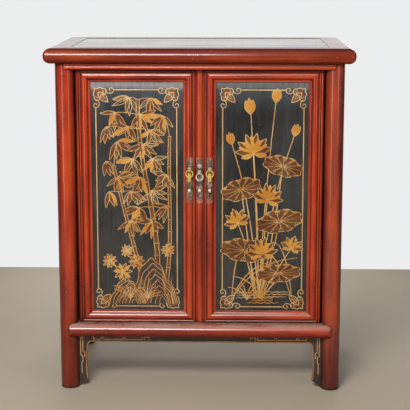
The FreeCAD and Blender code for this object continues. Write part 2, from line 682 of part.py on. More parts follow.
def shelf_board():
    """Loose middle shelf, notched round the back legs and resting on two bearers."""
    x = SIDE_PANEL_X - BATTEN_THICKNESS - 1
    y0 = DOOR_BACK_Y + SHELF_FRONT_SETBACK
    board = box(-x, x, y0, BACK_RAIL_IN + 6, SHELF_TOP - SHELF_THICKNESS, SHELF_TOP)
    return board.cut(leg_cylinders(1.0))


def shelf_bearers():
    """Two bearers on the side panels, scribed to the legs, that carry the shelf."""
    z1 = SHELF_TOP - SHELF_THICKNESS
    half_length = LEG_Y - LEG_R + 10
    one = box(SIDE_PANEL_X - BEARER_WIDTH, SIDE_PANEL_X, -half_length, half_length,
              z1 - BEARER_HEIGHT, z1)
    one = one.cut(leg_cylinders(JOINT_CLEARANCE))
    return [one, mirrored(one)]


# ---------------------------------------------------------------- aprons and spandrels
def spandrel_outline(edge, grow_in):
    """Right-hand end of an apron with its spandrel, in (along, up), edge being the leg's face."""
    r = SPANDREL_CORNER_RADIUS - grow_in
    mid = r * (1 - math.sqrt(0.5))
    inner = edge - SPANDREL_WIDTH + grow_in
    under = APRON_UNDER + grow_in
    foot = SPANDREL_FOOT_CLEARANCE
    toe = foot + SPANDREL_FOOT_RISE
    waist = (inner + SPANDREL_WAIST, (toe + under - r) / 2)
    heel_mid = (edge - SPANDREL_WIDTH * 0.45, foot + SPANDREL_FOOT_RISE * 0.35)
    start = (inner - r, SILL_UNDER)
    steps = [(inner - r, under), ((inner - mid, under - mid), (inner, under - r)),
             (waist, (inner, toe)), (heel_mid, (edge, foot)), (edge, SILL_UNDER), start]
    return start, steps


def spandrel(edge):
    """Right-hand spandrel plate with a raised bead along its inner edge, as if on the front."""
    place = lambda x, z: V(x, -APRON_FACE, z)
    start, steps = spandrel_outline(edge, 0.0)
    plate = prism(place, start, steps, V(0, APRON_THICKNESS, 0))
    raised = prism(lambda x, z: V(x, -APRON_FACE - APRON_BEAD_RISE, z), start, steps,
                   V(0, APRON_BEAD_RISE, 0))
    inner_start, inner_steps = spandrel_outline(edge, APRON_BEAD_WIDTH)
    field = prism(lambda x, z: V(x, -APRON_FACE - 2 * APRON_BEAD_RISE, z), inner_start, inner_steps,
                  V(0, 2 * APRON_BEAD_RISE, 0))
    toe_clear = box(edge - SPANDREL_WIDTH + APRON_BEAD_WIDTH, edge + 1,
                    -APRON_FACE - 2 * APRON_BEAD_RISE, -APRON_FACE, 0,
                    SPANDREL_FOOT_CLEARANCE + SPANDREL_FOOT_RISE + 2)
    bead = raised.cut(field).cut(toe_clear)
    return fused([plate, bead])


def apron_band(edge):
    """Straight middle of an apron, with the bead along its lower edge, as if on the front."""
    half = edge - SPANDREL_WIDTH - SPANDREL_CORNER_RADIUS
    body = box(-half, half, -APRON_FACE, -APRON_FACE + APRON_THICKNESS, APRON_UNDER, SILL_UNDER)
    bead = box(-half, half, -APRON_FACE - APRON_BEAD_RISE, -APRON_FACE,
               APRON_UNDER, APRON_UNDER + APRON_BEAD_WIDTH)
    return fused([body, bead])


def apron_tongue_box(x0, x1, grow):
    """Tongue along an apron's upper edge, which enters the rail above it."""
    third = APRON_THICKNESS / 3
    return box(x0 - grow, x1 + grow, -APRON_FACE + third - grow, -APRON_FACE + 2 * third + grow,
               SILL_UNDER - 1, SILL_UNDER + APRON_TONGUE + grow)


def leg_tongue_box(edge, grow):
    """Tongue along a spandrel's outer edge, which enters the leg."""
    third = APRON_THICKNESS / 3
    return box(edge - 1, edge + APRON_TONGUE + grow, -APRON_FACE + third - grow,
               -APRON_FACE + 2 * third + grow, SPANDREL_FOOT_CLEARANCE + 12 - grow, SILL_UNDER + grow)


def spandrel_tongue(grow):
    """Front spandrel's tongue at the right-hand leg."""
    return leg_tongue_box(LEG_X - LEG_R, grow)


def spandrel_tongue_side(grow):
    """Side spandrel's tongue, drawn as if on the front and turned later."""
    return leg_tongue_box(LEG_Y - LEG_R, grow)


def turned_to_side(shape):
    """Turns a front piece's right-hand end to the front end of the right-hand side."""
    offset = (LEG_X - LEG_Y)
    turned = mirrored(shape).rotate(V(0, 0, 0), V(0, 0, 1), 90)
    turned.translate(V(offset, 0, 0))
    return turned


def whole_spandrel(edge):
    """A spandrel with both tongues, scribed to the leg."""
    leg = rod(V(edge + LEG_R, -LEG_Y, 0), LEG_R, TOP_UNDER, V(0, 0, 1))
    filler = box(edge - 2, edge + LEG_R, -APRON_FACE, -APRON_FACE + APRON_THICKNESS,
                 SPANDREL_FOOT_CLEARANCE + 2, SILL_UNDER)
    body = fused([spandrel(edge), filler]).cut(leg)
    keep = box(0, edge + LEG_R / 2, -DEPTH, 0, 0, HEIGHT)
    body = body.common(keep)
    inner = edge - SPANDREL_WIDTH - SPANDREL_CORNER_RADIUS
    return fused([body, apron_tongue_box(inner, edge - 2, 0.0), leg_tongue_box(edge, 0.0)])


def whole_band(edge):
    """The straight middle of an apron with its tongue."""
    half = edge - SPANDREL_WIDTH - SPANDREL_CORNER_RADIUS
    return fused([apron_band(edge), apron_tongue_box(-half, half, 0.0)])


def front_apron_tongues(grow):
    """Groove under the front rail for the apron's tongue."""
    edge = LEG_X - LEG_R
    return apron_tongue_box(-edge + 2, edge - 2, grow)


def side_apron_tongues(grow):
    """Groove under the right-hand lower rail for its apron's tongue."""
    edge = LEG_Y - LEG_R
    return turned_to_side(apron_tongue_box(-edge + 2, edge - 2, grow))


def back_apron():
    """Plain board under the back rail, without spandrels."""
    edge = LEG_X - LEG_R
    face = BACK_RAIL_OUT - APRON_THICKNESS - 6
    board = box(-edge - 8, edge + 8, face, face + APRON_THICKNESS, APRON_UNDER, SILL_UNDER)
    return board.cut(leg_cylinders())


# ---------------------------------------------------------------- doors
def moulding_steps():
    """The door moulding's front, from the edge bead to the panel, as (distance, depth) steps."""
    bead_end = BEAD_START + BEAD_WIDTH
    quirk = bead_end + QUIRK_WIDTH
    edge_mid = (quirk + MOULDING_WIDTH) / 2
    cove_mid = (FILLET_WIDTH + (BEAD_START - FILLET_WIDTH) * 0.75,
                BEAD_RISE + (FILLET_DEPTH - BEAD_RISE) * 0.65)
    return [((edge_mid, BEAD_RISE - EDGE_BEAD_RISE), (quirk, BEAD_RISE)), (bead_end, BEAD_RISE),
            ((BEAD_CENTRE, 0.0), (BEAD_START, BEAD_RISE)),
            (cove_mid, (FILLET_WIDTH, FILLET_DEPTH)), (0.0, FILLET_DEPTH), (0.0, DOOR_THICKNESS)]


def moulding_prism(place, along):
    """A length of the door moulding with its square back."""
    start = (MOULDING_WIDTH, DOOR_THICKNESS)
    steps = [(MOULDING_WIDTH, BEAD_RISE)] + moulding_steps() + [start]
    return prism(place, start, steps, along)


def hinge_stile_prism(place, along):
    """The hinge stile's section: the moulding and, outside it, the rounded pivot column."""
    outer = HINGE_STILE_WIDTH
    r = PIVOT_COLUMN_RADIUS
    centre = outer - r
    inside = MOULDING_WIDTH + QUIRK_WIDTH
    start_angle = math.acos((inside - centre) / r)
    mid_angle = start_angle / 2
    start = (outer, DOOR_THICKNESS)
    steps = [(outer, r), ((centre + r * math.cos(mid_angle), r - r * math.sin(mid_angle)),
                          (inside, r - r * math.sin(start_angle))),
             (inside, BEAD_RISE), (MOULDING_WIDTH, BEAD_RISE)] + moulding_steps() + [start]
    return prism(place, start, steps, along)


def door_mask(points):
    """A flat outline in (x, z) pushed through the door's thickness."""
    return polygon_prism(lambda x, z: V(x, CREST_Y - 1, z), points, V(0, DOOR_THICKNESS + 2, 0))


def door_panel_board(grow):
    """The right-hand door's panel with its edges in the frame's grooves."""
    reach = DOOR_PANEL_TONGUE + grow
    y0 = CREST_Y + DOOR_PANEL_DEPTH
    return box(SIGHT_IN - reach, SIGHT_OUT + reach, y0 - grow / 2, y0 + DOOR_PANEL_THICKNESS + grow / 2,
               SIGHT_BOTTOM - reach, SIGHT_TOP + reach)


def door_tenons(grow):
    """Tenons of both rails in both stiles of the right-hand door."""
    y1 = DOOR_BACK_Y - 3
    y0 = y1 - DOOR_TENON_THICKNESS
    middle = MOULDING_WIDTH / 2
    half = DOOR_TENON_WIDTH / 2 + grow
    boxes = []
    for z in (SIGHT_BOTTOM - middle, SIGHT_TOP + middle):
        boxes.append(box(SIGHT_IN - DOOR_TENON_LENGTH - grow, SIGHT_IN + 4, y0 - grow, y1 + grow,
                         z - half, z + half))
        boxes.append(box(SIGHT_OUT - 4, SIGHT_OUT + DOOR_TENON_LENGTH + grow, y0 - grow, y1 + grow,
                         z - half, z + half))
    return boxes


def door_batten_boxes(grow):
    """Battens across the back of the right-hand door's panel, stubbed into the stiles."""
    y0 = CREST_Y + DOOR_PANEL_DEPTH + DOOR_PANEL_THICKNESS
    y1 = DOOR_BACK_Y - 1
    pitch = (SIGHT_TOP - SIGHT_BOTTOM) / (DOOR_BATTEN_COUNT + 1)
    boxes = []
    for index in range(DOOR_BATTEN_COUNT):
        z = SIGHT_BOTTOM + pitch * (index + 1)
        half = DOOR_BATTEN_WIDTH / 2 + grow
        boxes.append(box(SIGHT_IN - DOOR_PANEL_TONGUE - grow, SIGHT_OUT + DOOR_PANEL_TONGUE + grow,
                         y0 - grow / 2, y1 + grow, z - half, z + half))
    return boxes


def door_pieces():
    """Stiles, rails, panel and battens of the right-hand door."""
    full = DOOR_TOP - DOOR_BOTTOM
    hinge = hinge_stile_prism(lambda s, d: V(SIGHT_OUT + s, CREST_Y + d, STILE_BOTTOM),
                              V(0, 0, STILE_TOP - STILE_BOTTOM))
    edge = SIGHT_OUT + MOULDING_WIDTH
    hinge = hinge.common(door_mask([(SIGHT_OUT, SIGHT_BOTTOM), (edge, DOOR_BOTTOM), (edge, STILE_BOTTOM),
                                    (DOOR_OUT + 1, STILE_BOTTOM), (DOOR_OUT + 1, STILE_TOP),
                                    (edge, STILE_TOP), (edge, DOOR_TOP), (SIGHT_OUT, SIGHT_TOP)]))
    pin_length = PIVOT_BOTTOM_LENGTH + (STILE_TOP - STILE_BOTTOM) + PIVOT_TOP_LENGTH
    pin = rod(V(PIVOT_X, PIVOT_Y, STILE_BOTTOM - PIVOT_BOTTOM_LENGTH), PIVOT_PIN_RADIUS, pin_length,
              V(0, 0, 1))
    lower_pin = pin.common(box(0, WIDTH, -DEPTH, 0, 0, STILE_BOTTOM))
    upper_pin = pin.common(box(0, WIDTH, -DEPTH, 0, STILE_TOP, HEIGHT))
    hinge = fused([hinge, lower_pin, upper_pin])

    meeting = moulding_prism(lambda s, d: V(SIGHT_IN - s, CREST_Y + d, DOOR_BOTTOM), V(0, 0, full))
    meeting = meeting.common(door_mask([(SIGHT_IN, SIGHT_BOTTOM), (DOOR_IN, DOOR_BOTTOM),
                                        (DOOR_IN, DOOR_TOP), (SIGHT_IN, SIGHT_TOP)]))
    x0, x1 = DOOR_IN, edge
    top = moulding_prism(lambda s, d: V(x0, CREST_Y + d, SIGHT_TOP + s), V(x1 - x0, 0, 0))
    top = top.common(door_mask([(SIGHT_IN, SIGHT_TOP), (x0, DOOR_TOP), (x1, DOOR_TOP),
                                (SIGHT_OUT, SIGHT_TOP)]))
    bottom = moulding_prism(lambda s, d: V(x0, CREST_Y + d, SIGHT_BOTTOM - s), V(x1 - x0, 0, 0))
    bottom = bottom.common(door_mask([(SIGHT_IN, SIGHT_BOTTOM), (x0, DOOR_BOTTOM), (x1, DOOR_BOTTOM),
                                      (SIGHT_OUT, SIGHT_BOTTOM)]))
    groove = door_panel_board(JOINT_CLEARANCE)
    tenons = door_tenons(0.0)
    mortises = Part.makeCompound(door_tenons(JOINT_CLEARANCE))
    battens = Part.makeCompound(door_batten_boxes(JOINT_CLEARANCE))
    bottom = fused([bottom.cut(groove), tenons[0], tenons[1]])
    top = fused([top.cut(groove), tenons[2], tenons[3]])
    hinge = hinge.cut(groove).cut(mortises).cut(battens)
    meeting = meeting.cut(groove).cut(mortises).cut(battens)
    meeting = meeting.cut(shank_holes(MEETING_BEAD_X, CREST_Y, door_shank_heights()))
    return {"hinge_stile": hinge, "meeting_stile": meeting, "top_rail": top, "bottom_rail": bottom,
            "panel": door_panel_board(0.0), "battens": Part.makeCompound(door_batten_boxes(0.0))}


# ---------------------------------------------------------------- centre stile
def centre_stile_section(grow):
    """Half width, front and back of the centre stile, grown by a clearance."""
    return CENTRE_STILE_WIDTH / 2 + grow, CENTRE_CREST_Y - grow, CENTRE_BACK_Y + grow


def centre_stile_socket(top):
    """The slot in the lintel and in the top that the stile slides up into."""
    half, y0, y1 = centre_stile_section(CENTRE_CLEARANCE)
    return box(-half, half, y0, y1, LINTEL_UNDER - 1, top)


def centre_tongue(grow):
    """The tongue under the centre stile, which drops into the sill."""
    half, y0, y1 = centre_stile_section(grow)
    inset = CENTRE_TONGUE_INSET
    return box(-half + inset, half - inset, y0 + inset, y1 - 2 * inset,
               SILL_TOP - CENTRE_TONGUE_HEIGHT - grow, SILL_TOP + 1)


def centre_stile():
    """Loose stile between the doors, with a bead down its front and a tongue below."""
    half, y0, y1 = centre_stile_section(0.0)
    bead = BEAD_WIDTH / 2
    z1 = LINTEL_UNDER + CENTRE_TOP_ENGAGEMENT
    start = (half, y1)
    steps = [(half, y0 + BEAD_RISE), (bead, y0 + BEAD_RISE), ((0.0, y0), (-bead, y0 + BEAD_RISE)),
             (-half, y0 + BEAD_RISE), (-half, y1), start]
    body = prism(lambda x, y: V(x, y, SILL_TOP), start, steps, V(0, 0, z1 - SILL_TOP))
    body = fused([body, centre_tongue(0.0)])
    return body.cut(shank_holes(0.0, CENTRE_CREST_Y, centre_shank_heights()))


# ---------------------------------------------------------------- hardware
def plate_front(crest_y):
    """The plane that touches the front of a strip plate."""
    return crest_y - PLATE_SEAT - PLATE_THICKNESS


def shank(x, crest_y, z, root):
    """The square shank of a fitting, from root in front of the plate back into the stile."""
    front = plate_front(crest_y)
    half = SHANK_SIDE / 2
    return box(x - half, x + half, front - root, front + SHANK_LENGTH, z - half, z + half)


def door_shank_heights():
    """Heights of the fittings' shanks on a door's plate."""
    return [LUG_Z, PULL_AXIS_Z]


def centre_boss_z():
    """Height of the boss above the centre pull."""
    return CENTRE_PULL_AXIS_Z + CENTRE_BOSS_RADIUS + STAPLE_EAR_SIZE / 2 + BOSS_GAP


def centre_shank_heights():
    """Heights of the fittings' shanks on the centre plate."""
    return [LUG_Z, CENTRE_PULL_AXIS_Z, centre_boss_z()]


def shank_holes(x, crest_y, heights):
    """Holes for the shanks, through a plate and into the stile behind it."""
    front = plate_front(crest_y)
    half = SHANK_SIDE / 2 + SHANK_CLEARANCE
    back = front + SHANK_LENGTH + SHANK_CLEARANCE
    holes = [box(x - half, x + half, front - 1, back, z - half, z + half) for z in heights]
    return Part.makeCompound(holes)


def strip_plate(x, crest_y, heights):
    """A brass strip bent over a bead whose crest is at x and crest_y."""
    radius = bead_radius()
    angle = math.radians(PLATE_HALF_ANGLE)
    inner = radius + PLATE_SEAT
    outer = inner + PLATE_THICKNESS
    centre_y = crest_y + radius
    sine, cosine = math.sin(angle), math.cos(angle)
    start = (x - inner * sine, centre_y - inner * cosine)
    steps = [((x, centre_y - inner), (x + inner * sine, centre_y - inner * cosine)),
             (x + outer * sine, centre_y - outer * cosine),
             ((x, centre_y - outer), (x - outer * sine, centre_y - outer * cosine)), start]
    plate = prism(lambda px, py: V(px, py, PLATE_BOTTOM), start, steps, V(0, 0, PLATE_LENGTH))
    return plate.cut(shank_holes(x, crest_y, heights))


def ear_sweep():
    """How far the square corners of a staple's ears lie from its pin."""
    return STAPLE_EAR_SIZE / math.sqrt(2)


def staple(x, crest_y, z):
    """A forked bracket with a shank and a round cross pin, from which a pull hangs."""
    front = plate_front(crest_y)
    axis_y = front - STAPLE_REACH
    gap = PULL_EYE_WIDTH / 2 + EYE_SIDE_CLEARANCE
    width = gap + STAPLE_EAR_THICKNESS
    half = STAPLE_EAR_SIZE / 2
    block = box(x - width, x + width, axis_y - half, front, z - half, z + half)
    slot = box(x - gap, x + gap, axis_y - half, front - STAPLE_BASE_THICKNESS, z - half, z + half)
    reach = gap + STAPLE_EAR_THICKNESS / 2
    pin = rod(V(x - reach, axis_y, z), STAPLE_PIN_RADIUS, 2 * reach, V(1, 0, 0))
    return fused([block.cut(slot), pin, shank(x, crest_y, z, STAPLE_BASE_THICKNESS / 2)])


def lock_lug(x, crest_y):
    """A round-fronted lug on a shank, bored across for a lock bar that all the lugs share."""
    front = plate_front(crest_y)
    axis_y = plate_front(CREST_Y) - LUG_REACH
    half = LUG_THICKNESS / 2
    start = (front, LUG_Z - LUG_RADIUS)
    steps = [(axis_y, LUG_Z - LUG_RADIUS), ((axis_y - LUG_RADIUS, LUG_Z), (axis_y, LUG_Z + LUG_RADIUS)),
             (front, LUG_Z + LUG_RADIUS), start]
    lug = prism(lambda y, z: V(x - half, y, z), start, steps, V(LUG_THICKNESS, 0, 0))
    bore = rod(V(x - half - 1, axis_y, LUG_Z), LUG_BORE_RADIUS, LUG_THICKNESS + 2, V(1, 0, 0))
    return fused([lug.cut(bore), shank(x, crest_y, LUG_Z, LUG_REACH / 4)])


def centre_boss(crest_y):
    """Low rivet head with a bevelled rim above the centre pull."""
    front = plate_front(crest_y)
    z = centre_boss_z()
    head = Part.makeCone(CENTRE_BOSS_RADIUS, CENTRE_BOSS_RADIUS - BOSS_BEVEL, BOSS_HEIGHT,
                         V(0, front, z), V(0, -1, 0))
    return fused([head, shank(0.0, crest_y, z, BOSS_HEIGHT / 2)])


def pull_eye(x, axis_y, z):
    """The square eye at the head of a pull, as a bent strip has it."""
    half = PULL_EYE_WIDTH / 2
    side = PULL_EYE_SIZE / 2
    return box(x - half, x + half, axis_y - side, axis_y + side, z - side, z + side)


def pull_eye_hole(x, axis_y, z):
    """The square hole through a pull's eye."""
    side = STAPLE_PIN_RADIUS + STAPLE_PIN_CLEARANCE
    return box(x - PULL_EYE_WIDTH, x + PULL_EYE_WIDTH, axis_y - side, axis_y + side, z - side, z + side)


def door_pull(x, crest_y):
    """Flat ring pull whose wide tongue hangs from the ring's middle to below it."""
    axis_y = plate_front(crest_y) - STAPLE_REACH
    outer = PULL_RING_RADIUS + PULL_WIRE_RADIUS
    inner = PULL_RING_RADIUS - PULL_WIRE_RADIUS
    ring_z = PULL_AXIS_Z - ear_sweep() - PULL_EAR_GAP - outer
    neck = PULL_EYE_WIDTH / 2
    half = PULL_TONGUE_WIDTH / 2
    tip = PULL_AXIS_Z - PULL_DROP
    neck_z = ring_z + math.sqrt(outer * outer - neck * neck)
    foot_z = ring_z - math.sqrt(outer * outer - half * half)
    start = (neck, PULL_AXIS_Z)
    steps = [(neck, neck_z), ((outer, ring_z), (half, foot_z)),
             (half, tip + half), ((0.0, tip), (-half, tip + half)),
             (-half, foot_z), ((-outer, ring_z), (-neck, neck_z)), (-neck, PULL_AXIS_Z), start]
    place = lambda px, pz: V(x + px, axis_y - PULL_WIRE_RADIUS, pz)
    along = V(0, 2 * PULL_WIRE_RADIUS, 0)
    body = prism(place, start, steps, along)

    head = ring_z + PULL_TONGUE_HEAD
    hole_foot_z = ring_z - math.sqrt(inner * inner - half * half)
    hole_start = (half, head)
    hole_steps = [(half, hole_foot_z), ((inner, ring_z), (0.0, ring_z + inner)),
                  ((-inner, ring_z), (-half, hole_foot_z)), (-half, head), hole_start]
    body = body.cut(prism(place, hole_start, hole_steps, along))
    body = fused([body, pull_eye(x, axis_y, PULL_AXIS_Z)])
    return body.cut(pull_eye_hole(x, axis_y, PULL_AXIS_Z))


def centre_pull(crest_y):
    """Tear-shaped loop with a heavy lower edge, hanging from the centre plate."""
    axis_y = plate_front(crest_y) - STAPLE_REACH
    z = CENTRE_PULL_AXIS_Z
    centre_z = z - CENTRE_PULL_DROP
    thick = PULL_WIRE_RADIUS
    outer = CENTRE_RING_RADIUS + PULL_WIRE_RADIUS
    inner = CENTRE_RING_RADIUS - PULL_WIRE_RADIUS - CENTRE_RING_LIFT / 2
    angle = math.radians(45.0)
    side, rise = outer * math.cos(angle), outer * math.sin(angle)
    neck = PULL_EYE_WIDTH / 2
    shoulder_z = z - ear_sweep() - PULL_EAR_GAP
    start = (neck, z)
    steps = [(neck, shoulder_z), (side, centre_z + rise), ((outer, centre_z), (side, centre_z - rise)),
             ((0.0, centre_z - outer), (-side, centre_z - rise)),
             ((-outer, centre_z), (-side, centre_z + rise)),
             (-neck, shoulder_z), (-neck, z), start]
    plate = prism(lambda px, pz: V(px, axis_y - thick, pz), start, steps, V(0, 2 * thick, 0))
    hollow = rod(V(0, axis_y - 2 * thick, centre_z + CENTRE_RING_LIFT), inner, 4 * thick, V(0, 1, 0))
    body = fused([plate.cut(hollow), pull_eye(0, axis_y, z)])
    return body.cut(pull_eye_hole(0, axis_y, z))


# ---------------------------------------------------------------- assembly
def paired(name, shape):
    """A piece and its mirror image, named right and left."""
    return {name + "_right": shape, name + "_left": mirrored(shape)}


def all_parts():
    """Every node of the cabinet and its shape."""
    low, high = panel_heights()
    parts = dict(top_pieces())
    parts.update(paired("leg_front", front_leg(low, high)))
    parts.update(paired("leg_back", back_leg(low, high)))
    parts["front_lintel"] = front_lintel()
    parts["front_sill_rail"] = front_sill_rail()
    parts.update(paired("side_lower_rail", side_lower_rail()))
    parts.update(paired("side_top_rail", side_top_rail()))
    parts["back_lower_rail"] = back_rail(SILL_UNDER, SILL_TOP)
    parts["back_top_rail"] = back_rail(TOP_RAIL_UNDER, TOP_UNDER)
    parts.update(paired("side_panel", side_panel_board(0.0, low, high)))
    parts["side_battens"] = Part.makeCompound(side_battens())
    parts.update(paired("back_panel", back_panel_board(0.0, low, high)))
    parts["back_muntin"] = back_muntin()
    parts["floor_board"] = floor_board(0.0)
    parts["shelf_board"] = shelf_board()
    parts["shelf_bearers"] = Part.makeCompound(shelf_bearers())

    parts["front_apron"] = whole_band(LEG_X - LEG_R)
    parts.update(paired("front_spandrel", whole_spandrel(LEG_X - LEG_R)))
    side_band = turned_to_side(whole_band(LEG_Y - LEG_R))
    parts["side_aprons"] = Part.makeCompound([side_band, mirrored(side_band)])
    corner = turned_to_side(whole_spandrel(LEG_Y - LEG_R))
    corners = [corner, mirrored(corner), front_to_back(corner), mirrored(front_to_back(corner))]
    parts["side_spandrels"] = Part.makeCompound(corners)
    parts["back_apron"] = back_apron()

    door = door_pieces()
    for piece, shape in door.items():
        parts.update({"door_right_" + piece: shape, "door_left_" + piece: mirrored(shape)})
    parts["centre_stile"] = centre_stile()

    x = MEETING_BEAD_X
    parts.update(paired("lock_plate", strip_plate(x, CREST_Y, door_shank_heights())))
    parts["lock_plate_centre"] = strip_plate(0.0, CENTRE_CREST_Y, centre_shank_heights())
    fittings = [staple(x, CREST_Y, PULL_AXIS_Z), lock_lug(x, CREST_Y)]
    parts.update(paired("plate_fittings", Part.makeCompound(fittings)))
    centre = [staple(0.0, CENTRE_CREST_Y, CENTRE_PULL_AXIS_Z), lock_lug(0.0, CENTRE_CREST_Y),
              centre_boss(CENTRE_CREST_Y)]
    parts["plate_fittings_centre"] = Part.makeCompound(centre)
    parts.update(paired("door_pull", door_pull(x, CREST_Y)))
    parts["centre_pull"] = centre_pull(CENTRE_CREST_Y)
    return parts


def main():
    os.makedirs("parts", exist_ok=True)
    for name, shape in all_parts().items():
        shape.exportStep("parts/" + name + ".step")


main()
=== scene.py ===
"""Looks of a red-lacquered round-leg cabinet: worn lacquer, gilt line work and brass strips."""
from __future__ import annotations

import logging
import math
import random
from dataclasses import dataclass, field
from enum import Enum
from typing import Any, Iterable, Mapping, Sequence

import bmesh
import bpy
from mathutils import Matrix, Vector


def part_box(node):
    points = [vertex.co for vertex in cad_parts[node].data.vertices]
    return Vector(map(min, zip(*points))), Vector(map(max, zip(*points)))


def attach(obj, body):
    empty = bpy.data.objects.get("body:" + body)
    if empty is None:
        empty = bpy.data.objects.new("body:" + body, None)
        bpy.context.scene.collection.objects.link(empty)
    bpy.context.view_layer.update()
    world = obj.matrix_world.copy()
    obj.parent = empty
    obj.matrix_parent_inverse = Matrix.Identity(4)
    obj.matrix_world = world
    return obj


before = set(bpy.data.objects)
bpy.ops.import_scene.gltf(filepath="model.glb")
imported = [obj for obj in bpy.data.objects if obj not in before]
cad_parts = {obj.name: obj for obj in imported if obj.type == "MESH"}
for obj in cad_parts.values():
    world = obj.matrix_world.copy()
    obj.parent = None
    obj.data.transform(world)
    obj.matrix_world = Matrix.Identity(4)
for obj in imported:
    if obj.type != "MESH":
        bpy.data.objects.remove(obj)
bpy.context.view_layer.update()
LOG = logging.getLogger("cabinet")
MM = 0.001

Colour = tuple[float, float, float]
Triple = tuple[float, float, float]
Point = tuple[float, float]
Spot = Point | Vector
Inputs = Mapping[str | int, Any]
Settings = Mapping[str, Any]


# ---------------------------------------------------------------- shader graphs
class Sock:
    """A shader value whose arithmetic adds Math nodes to its graph."""

    def __init__(self, graph: Tree, socket: bpy.types.NodeSocket) -> None:
        """Wrap one output socket of a graph."""
        self.graph = graph
        self.socket = socket

    def math(self, operation: str, *values: Sock | float) -> Sock:
        """Add one Math node on some values and give its result."""
        return self.graph.result("ShaderNodeMath", {"operation": operation}, dict(enumerate(values)))

    def __add__(self, other: Sock | float) -> Sock:
        """Sum."""
        return self.math("ADD", self, other)

    def __radd__(self, other: float) -> Sock:
        """Sum with a number on the left."""
        return self.math("ADD", other, self)

    def __sub__(self, other: Sock | float) -> Sock:
        """Difference."""
        return self.math("SUBTRACT", self, other)

    def __rsub__(self, other: float) -> Sock:
        """Difference from a number on the left."""
        return self.math("SUBTRACT", other, self)

    def __mul__(self, other: Sock | float) -> Sock:
        """Product."""
        return self.math("MULTIPLY", self, other)

    def __rmul__(self, other: float) -> Sock:
        """Product with a number on the left."""
        return self.math("MULTIPLY", other, self)

    def ease(self, low: float, high: float) -> Sock:
        """Rise smoothly from 0 to 1.

        Args:
            low: The value that gives 0.
            high: The value that gives 1, which may be below low.

        Returns:
            The eased value.
        """
        flip = high < low
        sockets = {"Value": self, "From Min": min(low, high), "From Max": max(low, high),
                   "To Min": 1.0 if flip else 0.0, "To Max": 0.0 if flip else 1.0}
        return self.graph.result("ShaderNodeMapRange", {"interpolation_type": "SMOOTHSTEP"}, sockets)


class Tree:
    """A node tree that nodes are added to, such as a world's."""

    def __init__(self, owner: bpy.types.Material | bpy.types.World) -> None:
        """Start an empty tree.

        Args:
            owner: What the tree belongs to.
        """
        owner.use_nodes = True
        self.tree = owner.node_tree
        self.tree.nodes.clear()

    def node(self, kind: str, settings: Settings | None = None,
             sockets: Inputs | None = None) -> bpy.types.Node:
        """Add one node.

        Args:
            kind: The node's type.
            settings: Its properties, with a ramp's stops under the key stops.
            sockets: Values or links for its inputs.

        Returns:
            The node.
        """
        node = self.tree.nodes.new(kind)
        for key, value in (settings or {}).items():
            if key == "stops":
                elements = node.color_ramp.elements
                while len(elements) < len(value):
                    elements.new(0.5)
                for element, (place, colour) in zip(elements, value):
                    element.position = place
                    element.color = (*colour, 1.0)
            else:
                setattr(node, key, value)
        for key, value in (sockets or {}).items():
            self.connect(node.inputs[key], value)
        return node

    def result(self, kind: str, settings: Settings | None = None, sockets: Inputs | None = None,
               output: str | int = 0) -> Sock:
        """Add one node and give one of its outputs."""
        return Sock(self, self.node(kind, settings, sockets).outputs[output])

    def split(self, kind: str, axis: str) -> Sock:
        """Give one axis of a kind of texture coordinates."""
        whole = self.result("ShaderNodeTexCoord", output=kind)
        return self.result("ShaderNodeSeparateXYZ", sockets={0: whole}, output=axis)

    def connect(self, target: bpy.types.NodeSocket, value: Any) -> None:
        """Link or set one input.

        Args:
            target: The input socket.
            value: A Sock, a number, a vector or a colour.
        """
        if isinstance(value, Sock):
            self.tree.links.new(value.socket, target)
        elif target.type == "RGBA":
            target.default_value = (*value, 1.0)
        else:
            target.default_value = value


